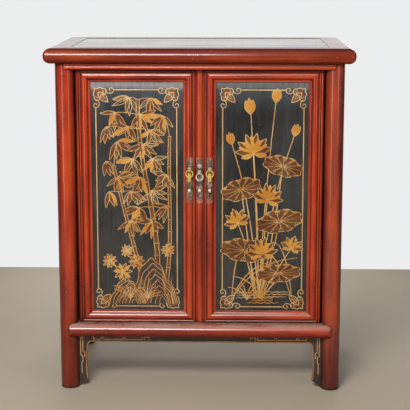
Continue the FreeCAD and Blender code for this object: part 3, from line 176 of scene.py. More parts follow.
class Graph(Tree):
    """The node tree of one material, with a Principled shader at its end."""

    def __init__(self, name: str) -> None:
        """Make a material with its shader alone.

        Args:
            name: The material's name.
        """
        self.material = bpy.data.materials.new(name)
        super().__init__(self.material)
        self.shader = self.node("ShaderNodeBsdfPrincipled")
        self.node("ShaderNodeOutputMaterial", sockets={"Surface": Sock(self, self.shader.outputs[0])})

    def place(self, scale: Triple = (1.0, 1.0, 1.0), shift: Triple = (0.0, 0.0, 0.0)) -> Sock:
        """Give the object's own coordinates, stretched and then shifted, in metres."""
        own = self.result("ShaderNodeTexCoord", output="Object")
        return self.result("ShaderNodeMapping", sockets={"Vector": own, "Scale": scale, "Location": shift})

    def axis(self, name: str) -> Sock:
        """Give one coordinate of the object, in metres."""
        return self.split("Object", name)

    def facing(self, axis: str) -> Sock:
        """Tell how much a spot faces along an axis, from -1 to 1."""
        return self.split("Normal", axis)

    def noise(self, vector: Sock, scale: float, detail: float = 2.0, warp: float = 0.0) -> Sock:
        """Give blotches near 0.5, from about 0.2 to 0.8, with scale of them in a metre."""
        sockets = {"Vector": vector, "Scale": scale, "Detail": detail, "Distortion": warp}
        return self.result("ShaderNodeTexNoise", sockets=sockets)

    def specks(self, vector: Sock, scale: float, size: float) -> Sock:
        """Give 1 inside scattered dots, whose radius is a share of a cell, with scale cells in a metre."""
        sockets = {"Vector": vector, "Scale": scale}
        return self.result("ShaderNodeTexVoronoi", sockets=sockets, output="Distance").ease(size, size * 0.6)

    def mix(self, factor: Sock | float, first: Any, second: Any, mode: str = "MIX") -> Sock:
        """Mix two colours, factor being the share of the second."""
        settings = {"data_type": "RGBA", "blend_type": mode}
        return self.result("ShaderNodeMix", settings, {0: factor, 6: first, 7: second}, 2)

    def ramp(self, value: Sock, stops: Sequence[tuple[float, Colour]]) -> Sock:
        """Turn a value into a colour by the places and colours of some stops."""
        return self.result("ShaderNodeValToRGB", {"stops": stops}, {0: value})

    def crevice(self, reach: float) -> Sock:
        """Give 1 in the open and towards 0 in quirks and corners, where walls within reach count."""
        return self.result("ShaderNodeAmbientOcclusion", {"samples": 8}, {"Distance": reach}, "AO")

    def relief(self, height: Sock, depth: float, strength: float = 1.0, arris: float = 0.0) -> None:
        """Feed a height to the shader's normal.

        Args:
            height: The height, from 0 to 1.
            depth: What 1 stands for, in metres.
            strength: The bump's strength.
            arris: Radius that sharp edges look rounded to, in metres.
        """
        sockets = {"Height": height, "Distance": depth, "Strength": strength}
        if arris:
            sockets["Normal"] = self.result("ShaderNodeBevel", {"samples": 4}, {"Radius": arris})
        self.set(Normal=self.result("ShaderNodeBump", sockets=sockets))

    def set(self, **values: Any) -> None:
        """Set or link inputs of the shader, with spaces written as underscores."""
        for key, value in values.items():
            self.connect(self.shader.inputs[key.replace("_", " ")], value)


# ---------------------------------------------------------------- choices
class Side(Enum):
    """The side of the cabinet, as seen from the front."""

    LEFT = "left"
    RIGHT = "right"


class Motif(Enum):
    """The traditional plant painted on a door."""

    BAMBOO = "bamboo"
    LOTUS = "lotus"


class Grain(Enum):
    """The axis that a piece's grain runs along."""

    X = 0
    Y = 1
    Z = 2

    def stretch(self, along: float) -> Triple:
        """Give a scale that is along on this axis and 1 across it."""
        return tuple(along if axis == self.value else 1.0 for axis in range(3))


# ---------------------------------------------------------------- finishes
@dataclass(frozen=True)
class Finish:
    """A named finish, which a subclass lays on."""

    name: str

    def lay(self, g: Graph) -> None:
        """Add the finish to its material's graph."""
        raise NotImplementedError

    def material(self) -> bpy.types.Material:
        """Build the finish.

        Returns:
            The material.
        """
        g = Graph(self.name)
        self.lay(g)
        return g.material


@dataclass(frozen=True)
class RedLacquer(Finish):
    """Red lacquer: orange where thin, brown-red where thick, worn pale at knocks, with painted shade and
    highlight.
    """

    grain: Grain
    body: Colour = (0.36, 0.031, 0.008)
    bright: Colour = (0.46, 0.054, 0.011)
    deep: Colour = (0.17, 0.014, 0.006)
    worn: Colour = (0.62, 0.24, 0.15)
    dusty: Colour = (0.42, 0.32, 0.25)
    # shaded is the colour of painted shade on faces turned from the front; shade is its strength.
    shaded: Colour = (0.075, 0.009, 0.005)
    # pale colours a band on upward-slanting faces that is partly rubbed wear and partly painted highlight;
    # rubbed sets its strength.
    pale: Colour = (0.66, 0.33, 0.26)
    # foot is multiplied in as painted shade towards the floor.
    foot: Colour = (0.34, 0.30, 0.40)
    chip: Colour = (0.035, 0.020, 0.014)
    # Colour for crevices: grime and painted shade.
    grime_and_shade: Colour = (0.030, 0.009, 0.006)
    dust: float = 0.0
    rubbed: float = 0.0
    thick: float = 0.5
    gloss: float = 0.30
    coat: float = 0.75
    coat_gloss: float = 0.11
    shade: float = 0.55
    low: float | None = None
    low_reach: float = 0.19
    arris: float = 0.0012
    seed: float = 0.0

    def lay(self, g: Graph) -> None:
        """Add the finish to a graph.

        Args:
            g: The material's graph.
        """
        shift = (self.seed, self.seed * 1.7, self.seed * 0.6)
        along = g.place(self.grain.stretch(0.10), shift)
        loose = g.place(self.grain.stretch(0.40), shift)
        plain = g.place(shift=shift)
        drift = g.noise(loose, 6.0, 2.0, 0.5)
        bands = g.noise(along, 34.0, 2.0, 0.2)
        blotch = g.noise(loose, 26.0, 3.0, 0.6)
        streak = g.noise(along, 90.0, 2.0, 0.3)
        mottle = g.noise(plain, 110.0, 3.0)
        # Crevices and quirks: grime, and painted shade where less light reaches; the same mask roughens and
        # dulls the coat.
        grime_and_shade_mask = g.crevice(0.016).ease(0.90, 0.38)
        coverage = (drift * 0.45 + bands * 1.25 + blotch * 0.40 + streak * 0.25 + mottle * 0.12
                    + (self.thick - 0.5) * 0.5 - 0.735)
        colour = g.ramp(coverage, [(0.30, self.bright), (0.50, self.body), (0.76, self.deep)])
        upward = g.facing("Z")
        # Painted shade: faces turned away from the front are darkened towards the shaded colour.
        turned_away_shade = g.facing("Y").ease(-0.97, -0.55) * upward.ease(0.99, 0.93) * self.shade
        colour = g.mix(turned_away_shade, colour, self.shaded)
        # A pale band where upward-slanting faces catch the lamp: partly rubbed wear, partly painted
        # highlight.
        if self.rubbed:
            wear_and_highlight_band = upward.ease(0.25, 0.62) * upward.ease(0.97, 0.86)
            wear_and_highlight_band = wear_and_highlight_band * (streak * 0.5 + blotch * 0.9).ease(0.30, 0.75)
            colour = g.mix(wear_and_highlight_band * self.rubbed, colour, self.pale)
        # Painted shade: darker towards the floor below low, by the foot tint.
        if self.low is not None:
            height = g.axis("Z")
            floor_shade = (height + (drift - 0.5) * 0.10).ease(self.low, self.low - self.low_reach)
            colour = g.mix(floor_shade * 0.9, colour, self.foot, "MULTIPLY")
            chipped = (height + (mottle - 0.5) * 0.02).ease(0.010, 0.003)
            colour = g.mix(chipped * 0.8, colour, self.chip)
        knocks = g.specks(plain, 80.0, 0.15) * blotch.ease(0.52, 0.62)
        nicks = g.specks(g.place(self.grain.stretch(0.35), shift), 240.0, 0.13) * drift.ease(0.50, 0.62)
        marks = knocks + nicks * 0.8
        colour = g.mix(marks * 0.6, colour, self.worn)
        # Grime and painted shade darken the crevices.
        colour = g.mix(grime_and_shade_mask * 0.88, colour, self.grime_and_shade)
        rough = self.gloss + (blotch - 0.5) * 0.22 + (mottle - 0.5) * 0.12 + marks * 0.25 + grime_and_shade_mask * 0.35
        if self.dust:
            settled = upward.ease(0.70, 0.98) * (mottle * 0.6 + blotch * 0.8).ease(0.45, 0.85) * self.dust
            colour = g.mix(settled, colour, self.dusty)
            rough = rough + settled * 0.3
        polish = upward.ease(-0.55, 0.05) * grime_and_shade_mask.ease(0.55, 0.05) * self.coat
        g.set(Base_Color=colour, Roughness=rough, Coat_Weight=polish, Coat_Roughness=self.coat_gloss,
              IOR=1.40, Specular_IOR_Level=0.22)
        g.relief(streak * 0.25 + mottle * 0.5 + blotch * 1.6 - marks * 1.0, 0.0005, 0.30, self.arris)


@dataclass(frozen=True)
class BlackLacquer(Finish):
    """Black lacquer, grey-bloomed, rubbed, flecked and scratched; towards haze_top a painted sheen and a pale
    haze.
    """

    body: Colour = (0.014, 0.014, 0.013)
    bloom: Colour = (0.054, 0.053, 0.051)
    gloss: float = 0.30
    haze_top: float | None = None
    haze: float = 0.9
    seed: float = 0.0
    scuffed: Colour = (0.20, 0.19, 0.16)
    # The bluish colour below is a painted reflection, a sheen.
    painted_sheen: Colour = (0.12, 0.14, 0.16)
    dusty: Colour = (0.30, 0.29, 0.28)

    def lay(self, g: Graph) -> None:
        """Add the finish to a graph.

        Args:
            g: The material's graph.
        """
        shift = (self.seed, 0.0, self.seed * 0.7)
        plain = g.place(shift=shift)
        cloud = g.noise(g.place((1.0, 1.0, 0.5), shift), 9.0, 3.0, 0.6)
        rubs = g.noise(g.place((1.0, 1.0, 0.10), shift), 90.0, 3.0)
        fine = g.noise(plain, 420.0, 2.0)
        scratch = g.noise(g.place((1.0, 1.0, 0.02), shift), 260.0, 1.0, 0.8).ease(0.72, 0.78)
        veil = cloud.ease(0.34, 0.76) * 0.55 + rubs.ease(0.45, 0.85) * 0.22 + fine.ease(0.5, 0.8) * 0.14
        colour = g.mix(veil, self.body, self.bloom)
        flecks = g.specks(plain, 115.0, 0.16) * rubs.ease(0.48, 0.58)
        colour = g.mix(scratch * 0.35 + flecks * 0.45, colour, self.scuffed)
        if self.haze_top is not None:
            height = g.axis("Z") + (cloud - 0.5) * 0.022
            # Painted reflection: a bluish sheen that grows towards haze_top.
            sheen_share = height.ease(self.haze_top - 0.10, self.haze_top - 0.01) * 0.35
            colour = g.mix(sheen_share, colour, self.painted_sheen)
            edge = height.ease(self.haze_top - 0.027, self.haze_top - 0.012)
            colour = g.mix(edge * (rubs * 0.5 + 0.5) * self.haze, colour, self.dusty)
        rough = self.gloss + (cloud - 0.5) * 0.25 + (rubs - 0.5) * 0.20 + scratch * 0.15
        g.set(Base_Color=colour, Roughness=rough, Coat_Weight=0.25, Coat_Roughness=0.2, IOR=1.5)
        g.relief(cloud * 2.0 + rubs * 0.25 + fine * 0.25, 0.0005, 0.35)


@dataclass(frozen=True)
class Gilt(Finish):
    """Gold paint on lacquer, from ochre to orange, rubbed thin in places."""

    pale: Colour = (0.72, 0.42, 0.16)
    rich: Colour = (0.60, 0.25, 0.05)
    rubbed: Colour = (0.20, 0.10, 0.035)
    wear: float = 0.5

    def lay(self, g: Graph) -> None:
        """Add the finish to a graph.

        Args:
            g: The material's graph.
        """
        plain = g.place()
        tint = g.noise(plain, 16.0, 3.0, 0.5)
        thin = g.noise(plain, 110.0, 3.0, 0.3)
        colour = g.mix(tint.ease(0.38, 0.64), self.pale, self.rich)
        colour = g.mix(thin.ease(0.50, 0.78) * self.wear, colour, self.rubbed)
        g.set(Base_Color=colour, Roughness=0.42 + (thin - 0.5) * 0.3, Metallic=thin.ease(0.75, 0.45) * 0.35)
        g.relief(thin, 0.0002, 0.4)


@dataclass(frozen=True)
class Brass(Finish):
    """Old brass with tarnish, handling marks, grime and painted shade in hollows and, on the strips, red
    lacquer smears.
    """

    bright: Colour = (0.78, 0.56, 0.22)
    dull: Colour = (0.30, 0.20, 0.11)
    tarnish: float = 0.5
    metal: float = 0.9
    gloss: float = 0.34
    smears: Point | None = None
    smear: Colour = (0.36, 0.055, 0.025)
    grime_and_shade: Colour = (0.050, 0.026, 0.014)

    def lay(self, g: Graph) -> None:
        """Add the finish to a graph.

        Args:
            g: The material's graph.
        """
        plain = g.place()
        patch = g.noise(plain, 70.0, 4.0, 0.5)
        grit = g.noise(plain, 420.0, 3.0)
        scratch = g.noise(g.place((0.15, 0.15, 1.0)), 900.0, 1.0).ease(0.58, 0.70)
        cover = (patch + (grit - 0.5) * 0.6 + self.tarnish - 0.5).ease(0.38, 0.62)
        colour = g.mix(cover, self.bright, self.dull)
        colour = g.mix(scratch * 0.22, colour, self.bright)
        metal = self.metal - cover * 0.25
        if self.smears is not None:
            low, high = self.smears
            height = g.axis("Z") + (patch - 0.5) * 0.030
            paint = height.ease(low + 0.022, low + 0.006) + height.ease(high - 0.012, high - 0.002)
            paint = paint * grit.ease(0.36, 0.56)
            colour = g.mix(paint * 0.8, colour, self.smear)
            metal = metal - paint * 0.6
        # Darker in crevices: grime and painted shade.
        colour = g.mix(g.crevice(0.005).ease(0.80, 0.25) * 0.8, colour, self.grime_and_shade)
        g.set(Base_Color=colour, Metallic=metal, Roughness=self.gloss + cover * 0.18 + (grit - 0.5) * 0.2)
        g.relief(patch * 1.5 + grit * 0.6, 0.0003, 0.5)


@dataclass(frozen=True)
class OldWood(Finish):
    """Plain wood, bare inside the case and varnished on the top's boards, where a seam is rubbed."""

    grain: Grain
    light: Colour = (0.34, 0.20, 0.11)
    dark: Colour = (0.16, 0.085, 0.045)
    gloss: float = 0.6
    coat: float = 0.0
    seam: float | None = None
    seed: float = 0.0

    def lay(self, g: Graph) -> None:
        """Add the finish to a graph.

        Args:
            g: The material's graph.
        """
        shift = (self.seed, self.seed * 0.4, self.seed)
        along = g.place(self.grain.stretch(0.05), shift)
        rings = g.noise(along, 42.0, 4.0, 1.2)
        pores = g.noise(along, 520.0, 2.0)
        stain = g.noise(g.place(self.grain.stretch(0.5), shift), 6.0, 3.0, 0.5)
        colour = g.mix(rings.ease(0.36, 0.66), self.light, self.dark)
        colour = g.mix(pores.ease(0.52, 0.72) * 0.45, colour, self.dark)
        colour = g.mix(stain.ease(0.45, 0.72) * 0.5, colour, self.dark)
        rough = self.gloss + (stain - 0.5) * 0.25 + (rings - 0.5) * 0.12
        polish = rings.ease(0.70, 0.46) * 0.45 + 0.55
        if self.seam is not None:
            offset = g.axis("Y") + (rings - 0.5) * 0.012 - self.seam
            rubbed = offset.math("ABSOLUTE", offset).ease(0.011, 0.004)
            rubbed = rubbed * (stain * 0.6 + rings * 0.6).ease(0.50, 0.66)
            colour = g.mix(rubbed * 0.9, colour, self.dark)
            polish = polish - rubbed * 0.5
            rough = rough + rubbed * 0.35
        g.set(Base_Color=colour, Roughness=rough, Coat_Weight=polish * self.coat, Coat_Roughness=0.12)
        g.relief(rings * 0.8 + pores * 0.5, 0.0004, 0.4)


@dataclass(frozen=True)
class PlainFloor(Finish):
    """A plain pale matt floor."""

    tone: Colour = (0.47, 0.395, 0.300)

    def lay(self, g: Graph) -> None:
        """Add the finish to a graph.

        Args:
            g: The material's graph.
        """
        soft = g.noise(g.place(), 2.5, 2.0)
        darker = tuple(channel * 0.9 for channel in self.tone)
        g.set(Base_Color=g.mix(soft.ease(0.3, 0.7) * 0.15, self.tone, darker), Roughness=0.75)


# ---------------------------------------------------------------- pieces
def link(name: str, data: bpy.types.ID) -> bpy.types.Object:
    """Put a new object into the scene.

    Args:
        name: Its name.
        data: Its mesh, light or camera.

    Returns:
        The object.
    """
    item = bpy.data.objects.new(name, data)
    bpy.context.scene.collection.objects.link(item)
    return item


def mesh_from(bm: bmesh.types.BMesh, name: str, sharp: float) -> bpy.types.Mesh:
    """Close a bmesh into a mesh with smooth shading between sharp edges.

    Args:
        bm: The bmesh, which is freed.
        name: The mesh's name.
        sharp: Angle in degrees over which an edge stays sharp.

    Returns:
        The mesh.
    """
    bmesh.ops.remove_doubles(bm, verts=bm.verts, dist=1e-6)
    bmesh.ops.recalc_face_normals(bm, faces=bm.faces)
    mesh = bpy.data.meshes.new(name)
    bm.to_mesh(mesh)
    bm.free()
    mesh.shade_smooth()
    mesh.set_sharp_from_angle(angle=math.radians(sharp))
    return mesh


def dress(finish: Finish, *names: str) -> None:
    """Give CAD pieces a finish.

    Args:
        finish: The finish.
        names: The pieces' node names.
    """
    material = finish.material()
    for name in names:
        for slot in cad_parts[name].material_slots:
            slot.material = material
        LOG.info("dressed %s with %s", name, finish.name)


def paired(*stems: str) -> list[str]:
    """Give the left and the right node name of each stem."""
    return [f"{stem}_{side.value}" for stem in stems for side in Side]


@dataclass
class Paint:
    """Thin shapes on an upright panel, whose face is at y = plane, gathered into one mesh."""

    name: str
    plane: float
    sharp: float = field(init=False, default=35.0)
    bm: bmesh.types.BMesh = field(init=False, default_factory=bmesh.new)

    def gather(self, curve: bpy.types.Curve, turn: Matrix, lift: float = 0.0) -> None:
        """Add the faces of a curve.

        Args:
            curve: The curve.
            turn: How its mesh is turned or flattened.
            lift: How far it then moves out of the panel.
        """
        holder = bpy.data.objects.new(curve.name, curve)
        mesh = bpy.data.meshes.new_from_object(holder)
        bpy.data.objects.remove(holder)
        mesh.transform(Matrix.Translation((0.0, self.plane - lift, 0.0)) @ turn)
        self.bm.from_mesh(mesh)
        bpy.data.meshes.remove(mesh)

    def piece(self, finish: Finish, body: str) -> None:
        """Turn the shapes into a piece of the cabinet.

        Args:
            finish: The paint.
            body: The body that it rides on.
        """
        mesh = mesh_from(self.bm, self.name, self.sharp)
        mesh.materials.append(finish.material())
        piece = link(self.name, mesh)
        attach(piece, body)
        LOG.info("added %s on %s with %s", self.name, body, finish.name)


@dataclass
class Brush(Paint):
    """Raised strokes, of a height relief times their half width and pen times as broad as stated."""

    relief: float = 0.08
    pen: float = 1.0
    layer: float = field(init=False, default=0.0)
    curve: bpy.types.Curve = field(init=False)

    def __post_init__(self) -> None:
        """Start an empty set of strokes."""
        self.sharp = 80.0
        self.curve = bpy.data.curves.new(self.name, "CURVE")
        self.curve.dimensions = "3D"
        self.curve.bevel_mode = "ROUND"
        self.curve.bevel_depth = 1.0
        self.curve.bevel_resolution = 0
        self.curve.use_fill_caps = True

    def stroke(self, points: Iterable[Spot], width: float, tips: Point = (1.0, 1.0),
               belly: float = 0.0, straight: bool = False) -> None:
        """Draw one stroke.

        Args:
            points: Where it goes, as (x, z) in millimetres.
            width: Its width in millimetres.
            tips: Share of the width at its start and at its end.
            belly: How much wider it is at its middle, as a share of the width.
            straight: Whether it has corners instead of bends.
        """
        path = list(points)
        if straight and len(path) > 2:
            for pair in zip(path, path[1:]):
                self.stroke(pair, width, straight=True)
            return
        spline = self.curve.splines.new("POLY" if straight else "NURBS")
        last = len(path) - 1
        spline.points.add(last)
        for index, ((x, z), point) in enumerate(zip(path, spline.points)):
            share = index / last
            swell = 1.0 + belly * math.sin(math.pi * share)
            taper = tips[0] + (tips[1] - tips[0]) * share
            if belly and 0 < index < last:
                taper = 1.0
            point.co = (x * MM, -self.layer * MM / self.relief, z * MM, 1.0)
            point.radius = width * 0.5 * MM * taper * swell * self.pen
        if not straight:
            spline.order_u = 3
            spline.use_endpoint_u = True
            spline.resolution_u = 3

    def piece(self, finish: Finish, body: str) -> None:
        """Flatten the strokes and turn them into a piece of the cabinet."""
        self.gather(self.curve, Matrix.Diagonal((1.0, self.relief, 1.0, 1.0)))
        super().piece(finish, body)


@dataclass
class Ground(Paint):
    """Flat filled shapes that hide the strokes behind them."""

    def fill(self, outline: Sequence[Spot], layer: float) -> None:
        """Add one filled shape that stands on the panel.

        Args:
            outline: Its rim, as (x, z) in millimetres.
            layer: Its height above the panel, in millimetres.
        """
        half = layer * 0.5 * MM
        curve = bpy.data.curves.new(self.name + "_rim", "CURVE")
        curve.dimensions = "2D"
        curve.fill_mode = "BOTH"
        curve.extrude = half
        spline = curve.splines.new("POLY")
        spline.points.add(len(outline) - 1)
        for (x, z), point in zip(outline, spline.points):
            point.co = (x * MM, z * MM, 0.0, 1.0)
        spline.use_cyclic_u = True
        self.gather(curve, Matrix.Rotation(math.pi / 2, 4, "X"), half)


# ---------------------------------------------------------------- wooden sub-assemblies
@dataclass
class Carcass:
    """Top, legs, rails, case panels and inside of the cabinet, with its sizes in metres."""

    leg_fade: float = 0.245
    seam: float = 0.075

    def build(self) -> None:
        """Give every fixed wooden piece its lacquer or wood."""
        self.dress_top()
        self.dress_legs()
        self.dress_rails()
        self.dress_inside()

    def dress_top(self) -> None:
        """Lacquer the top's frame and varnish its boards."""
        dress(RedLacquer("top_nose_lacquer", Grain.X, (0.20, 0.026, 0.008), (0.34, 0.046, 0.010), thick=0.50,
                         coat=0.45, coat_gloss=0.15, shade=0.85, seed=2.6),
              "top_frame_front", "top_frame_back")
        dress(RedLacquer("top_side_lacquer", Grain.Y, (0.24, 0.040, 0.020), thick=0.6, shade=0.0, seed=3.0),
              *paired("top_frame"))
        dress(OldWood("top_board_varnish", Grain.X, (0.24, 0.155, 0.105), (0.075, 0.048, 0.038), 0.32, 1.0,
                      self.seam),
              "top_panel_front_board", "top_panel_back_board")

    def dress_legs(self) -> None:
        """Lacquer the legs, each side a little differently, with painted shade darker towards the floor."""
        dress(RedLacquer("leg_orange_lacquer", Grain.Z, thick=0.42, low=self.leg_fade + 0.06,
                         coat_gloss=0.17, seed=5.0),
              "leg_front_left", "leg_back_left")
        dress(RedLacquer("leg_brown_lacquer", Grain.Z, (0.27, 0.045, 0.022), thick=0.60,
                         low=self.leg_fade - 0.04, coat_gloss=0.17, seed=8.0),
              "leg_front_right", "leg_back_right")

    def dress_rails(self) -> None:
        """Lacquer the rails red and the panels of the sides and the back black."""
        dress(RedLacquer("lintel_lacquer", Grain.X, rubbed=0.45, thick=0.34, shade=0.15, coat_gloss=0.16,
                         seed=11.0),
              "front_lintel")
        dress(RedLacquer("sill_lacquer", Grain.X, (0.26, 0.026, 0.012), (0.40, 0.048, 0.018),
                         (0.12, 0.012, 0.008), dust=0.70, rubbed=0.40, shade=0.60, thick=0.50, gloss=0.42,
                         coat=0.9, coat_gloss=0.20, seed=13.0),
              "front_sill_rail")
        dress(RedLacquer("side_rail_lacquer", Grain.Y, thick=0.55, shade=0.0, seed=17.0),
              *paired("side_lower_rail", "side_top_rail"))
        dress(BlackLacquer("case_black_lacquer", gloss=0.42), *paired("side_panel", "back_panel"),
              "back_lower_rail", "back_top_rail", "back_muntin", "back_apron")

    def dress_inside(self) -> None:
        """Leave the inside as bare old wood."""
        dress(OldWood("inside_wood", Grain.Y, seed=1.0), "side_battens", "shelf_bearers", "top_battens")
        dress(OldWood("inside_board_wood", Grain.X, seed=4.0), "floor_board", "shelf_board")


@dataclass
class Apron:
    """Aprons and spandrels with their gilt bead and key fret, in millimetres."""

    line: float = 2.0
    bead: float = 2.8
    corner: float = 14.0
    under_top: float = 7.5
    over_edge: float = 7.0
    set_back: float = 1.5
    cells: tuple[Point, ...] = ((2.0, 24.0), (29.0, 86.0), (91.0, 140.0))
    hook: Triple = (146.0, 160.0, 182.0)
    columns: tuple[tuple[Point, ...], ...] = (
        ((20.5, 0), (20.5, 60), (15, 62), (15, 78), (18, 80), (18, 112)),
        ((14.5, 0), (14.5, 48), (9.5, 50), (9.5, 66)),
    )

    def build(self) -> None:
        """Lacquer the aprons black and paint their gilt lines."""
        dress(BlackLacquer("apron_black_lacquer", (0.020, 0.016, 0.013), (0.085, 0.052, 0.030), 0.42),
              "front_apron", *paired("front_spandrel"), "side_aprons", "side_spandrels")
        low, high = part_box("front_apron")
        self.paint_bead(low, high)
        self.paint_fret(low, high)

    def paint_bead(self, low: Vector, high: Vector) -> None:
        """Gild the bead along the lower edge and down both spandrels.

        Args:
            low: The apron's lowest corner.
            high: Its highest corner.
        """
        brush = Brush("apron_gilt_bead", low.y, 0.10)
        under, reach = low.z / MM, high.x / MM
        edge = reach + self.corner
        half = [(0.0, under + 2), (reach * 0.6, under + 2), (reach, under + 2), (edge - 7, under + 1.6),
                (edge - 0.5, under - 4), (edge + 2, under - self.corner), (edge + 4.6, under * 0.6),
                (edge + 4.8, under * 0.45), (edge + 3.6, under * 0.3), (edge + 2, under * 0.17)]
        for side in (-1, 1):
            brush.stroke([(side * x, z) for x, z in half], self.bead)
        gilt = Gilt("bead_gilt", (0.50, 0.25, 0.08), (0.36, 0.14, 0.04), (0.12, 0.05, 0.02), 0.8)
        brush.piece(gilt, "cabinet")

    def paint_fret(self, low: Vector, high: Vector) -> None:
        """Paint the fret near both ends of the band and down the spandrels, with the middle left bare.

        Args:
            low: The apron's lowest corner.
            high: Its highest corner.
        """
        brush = Brush("apron_gilt_fret", low.y + self.set_back * MM, 0.12)
        top, base, reach = high.z / MM - self.under_top, low.z / MM + self.over_edge, high.x / MM
        near, far, end = self.hook
        paths = [[(a, top), (a, base), (b, base), (b, top), (a, top)] for a, b in self.cells]
        paths += [[(near, base - 2), (near, top)], [(far, base - 2), (far, top), (end, top)],
                  [(near, (base + top) / 2), (far, (base + top) / 2)]]
        edge = reach + self.corner
        for side in (-1, 1):
            for path in paths:
                brush.stroke([(side * (reach - x), z) for x, z in path], self.line, straight=True)
            for column in self.columns:
                path = [(side * (edge + x), top - drop) for x, drop in column]
                brush.stroke(path, self.line, straight=True)
        brush.piece(Gilt("fret_gilt", (0.72, 0.46, 0.22), (0.60, 0.28, 0.09)), "cabinet")


# ---------------------------------------------------------------- doors
@dataclass
class Border:
    """The gilt line round a door's painting, with a scrolled ornament at each corner, in millimetres."""

    left: float
    right: float
    bottom: float
    top: float
    line: float = 2.7
    arm: float = 50.0
    scrolls: tuple[tuple[Sequence[Point], float], ...] = (
        ([(27, 3), (32, 8.5), (40, 10.5), (48, 7.5), (50.5, 0.5), (46, -5), (39, -4.5), (36.5, 1.5),
          (42, 4)], 2.2),
        ([(14, 13.5), (21, 13.5), (29, 9.5), (30.5, 2), (25, -4), (19.5, -2), (14.5, -6), (8, -5.5),
          (4.5, -1.5), (0, -4.5), (-4, -4)], 2.3),
        ([(10, 7.5), (16, 8), (22, 6.5), (24, 2.5), (18, 1.5)], 1.7),
        ([(7, 7), (15, 7), (25, 12), (32, 21), (34, 34)], 2.3),
        ([(13, 13), (19.5, 15), (24, 19.5), (27, 27)], 1.6),
    )
    grounds: tuple[tuple[Sequence[Point], float], ...] = (
        ([(4, 4), (12, 3), (18, 3), (25, 3)], 5.0),
        ([(9, 9), (17, 17), (25, 25), (30, 30)], 6.0),
    )

    def draw(self, brush: Brush, fill: Brush) -> None:
        """Draw the lines and the four corners.

        Args:
            brush: Where the gilt lines are drawn.
            fill: Where the ornaments' darker grounds are painted.
        """
        sides = ((self.left, 1), (self.right, -1))
        ends = ((self.bottom, 1), (self.top, -1))
        for x, _ in sides:
            brush.stroke([(x, self.bottom + self.arm), (x, self.top - self.arm)], self.line, straight=True)
        for z, _ in ends:
            brush.stroke([(self.left + self.arm, z), (self.right - self.arm, z)], self.line, straight=True)
        for x, toward_x in sides:
            for z, toward_z in ends:
                self.draw_corner(brush, fill, (x, z), (toward_x, toward_z))

    def draw_corner(self, brush: Brush, fill: Brush, corner: Point, toward: tuple[int, int]) -> None:
        """Draw one ornament: two lobed wings, their scrolls and a pointed leaf on the diagonal.

        Args:
            brush: Where the gilt lines are drawn.
            fill: Where the grounds are painted.
            corner: Where the border's lines would meet.
            toward: The panel's side, as a sign along x and along z.
        """
        for target, shapes in ((brush, self.scrolls), (fill, self.grounds)):
            for path, width in shapes:
                for points in (path, [(v, u) for u, v in path]):
                    moved = [(corner[0] + toward[0] * u, corner[1] + toward[1] * v) for u, v in points]
                    target.stroke(moved, width)


def heading(angle: float) -> tuple[Vector, Vector]:
    """Give the direction of an angle in radians from +X, and the one to its left."""
    return Vector((math.cos(angle), math.sin(angle))), Vector((-math.sin(angle), math.cos(angle)))


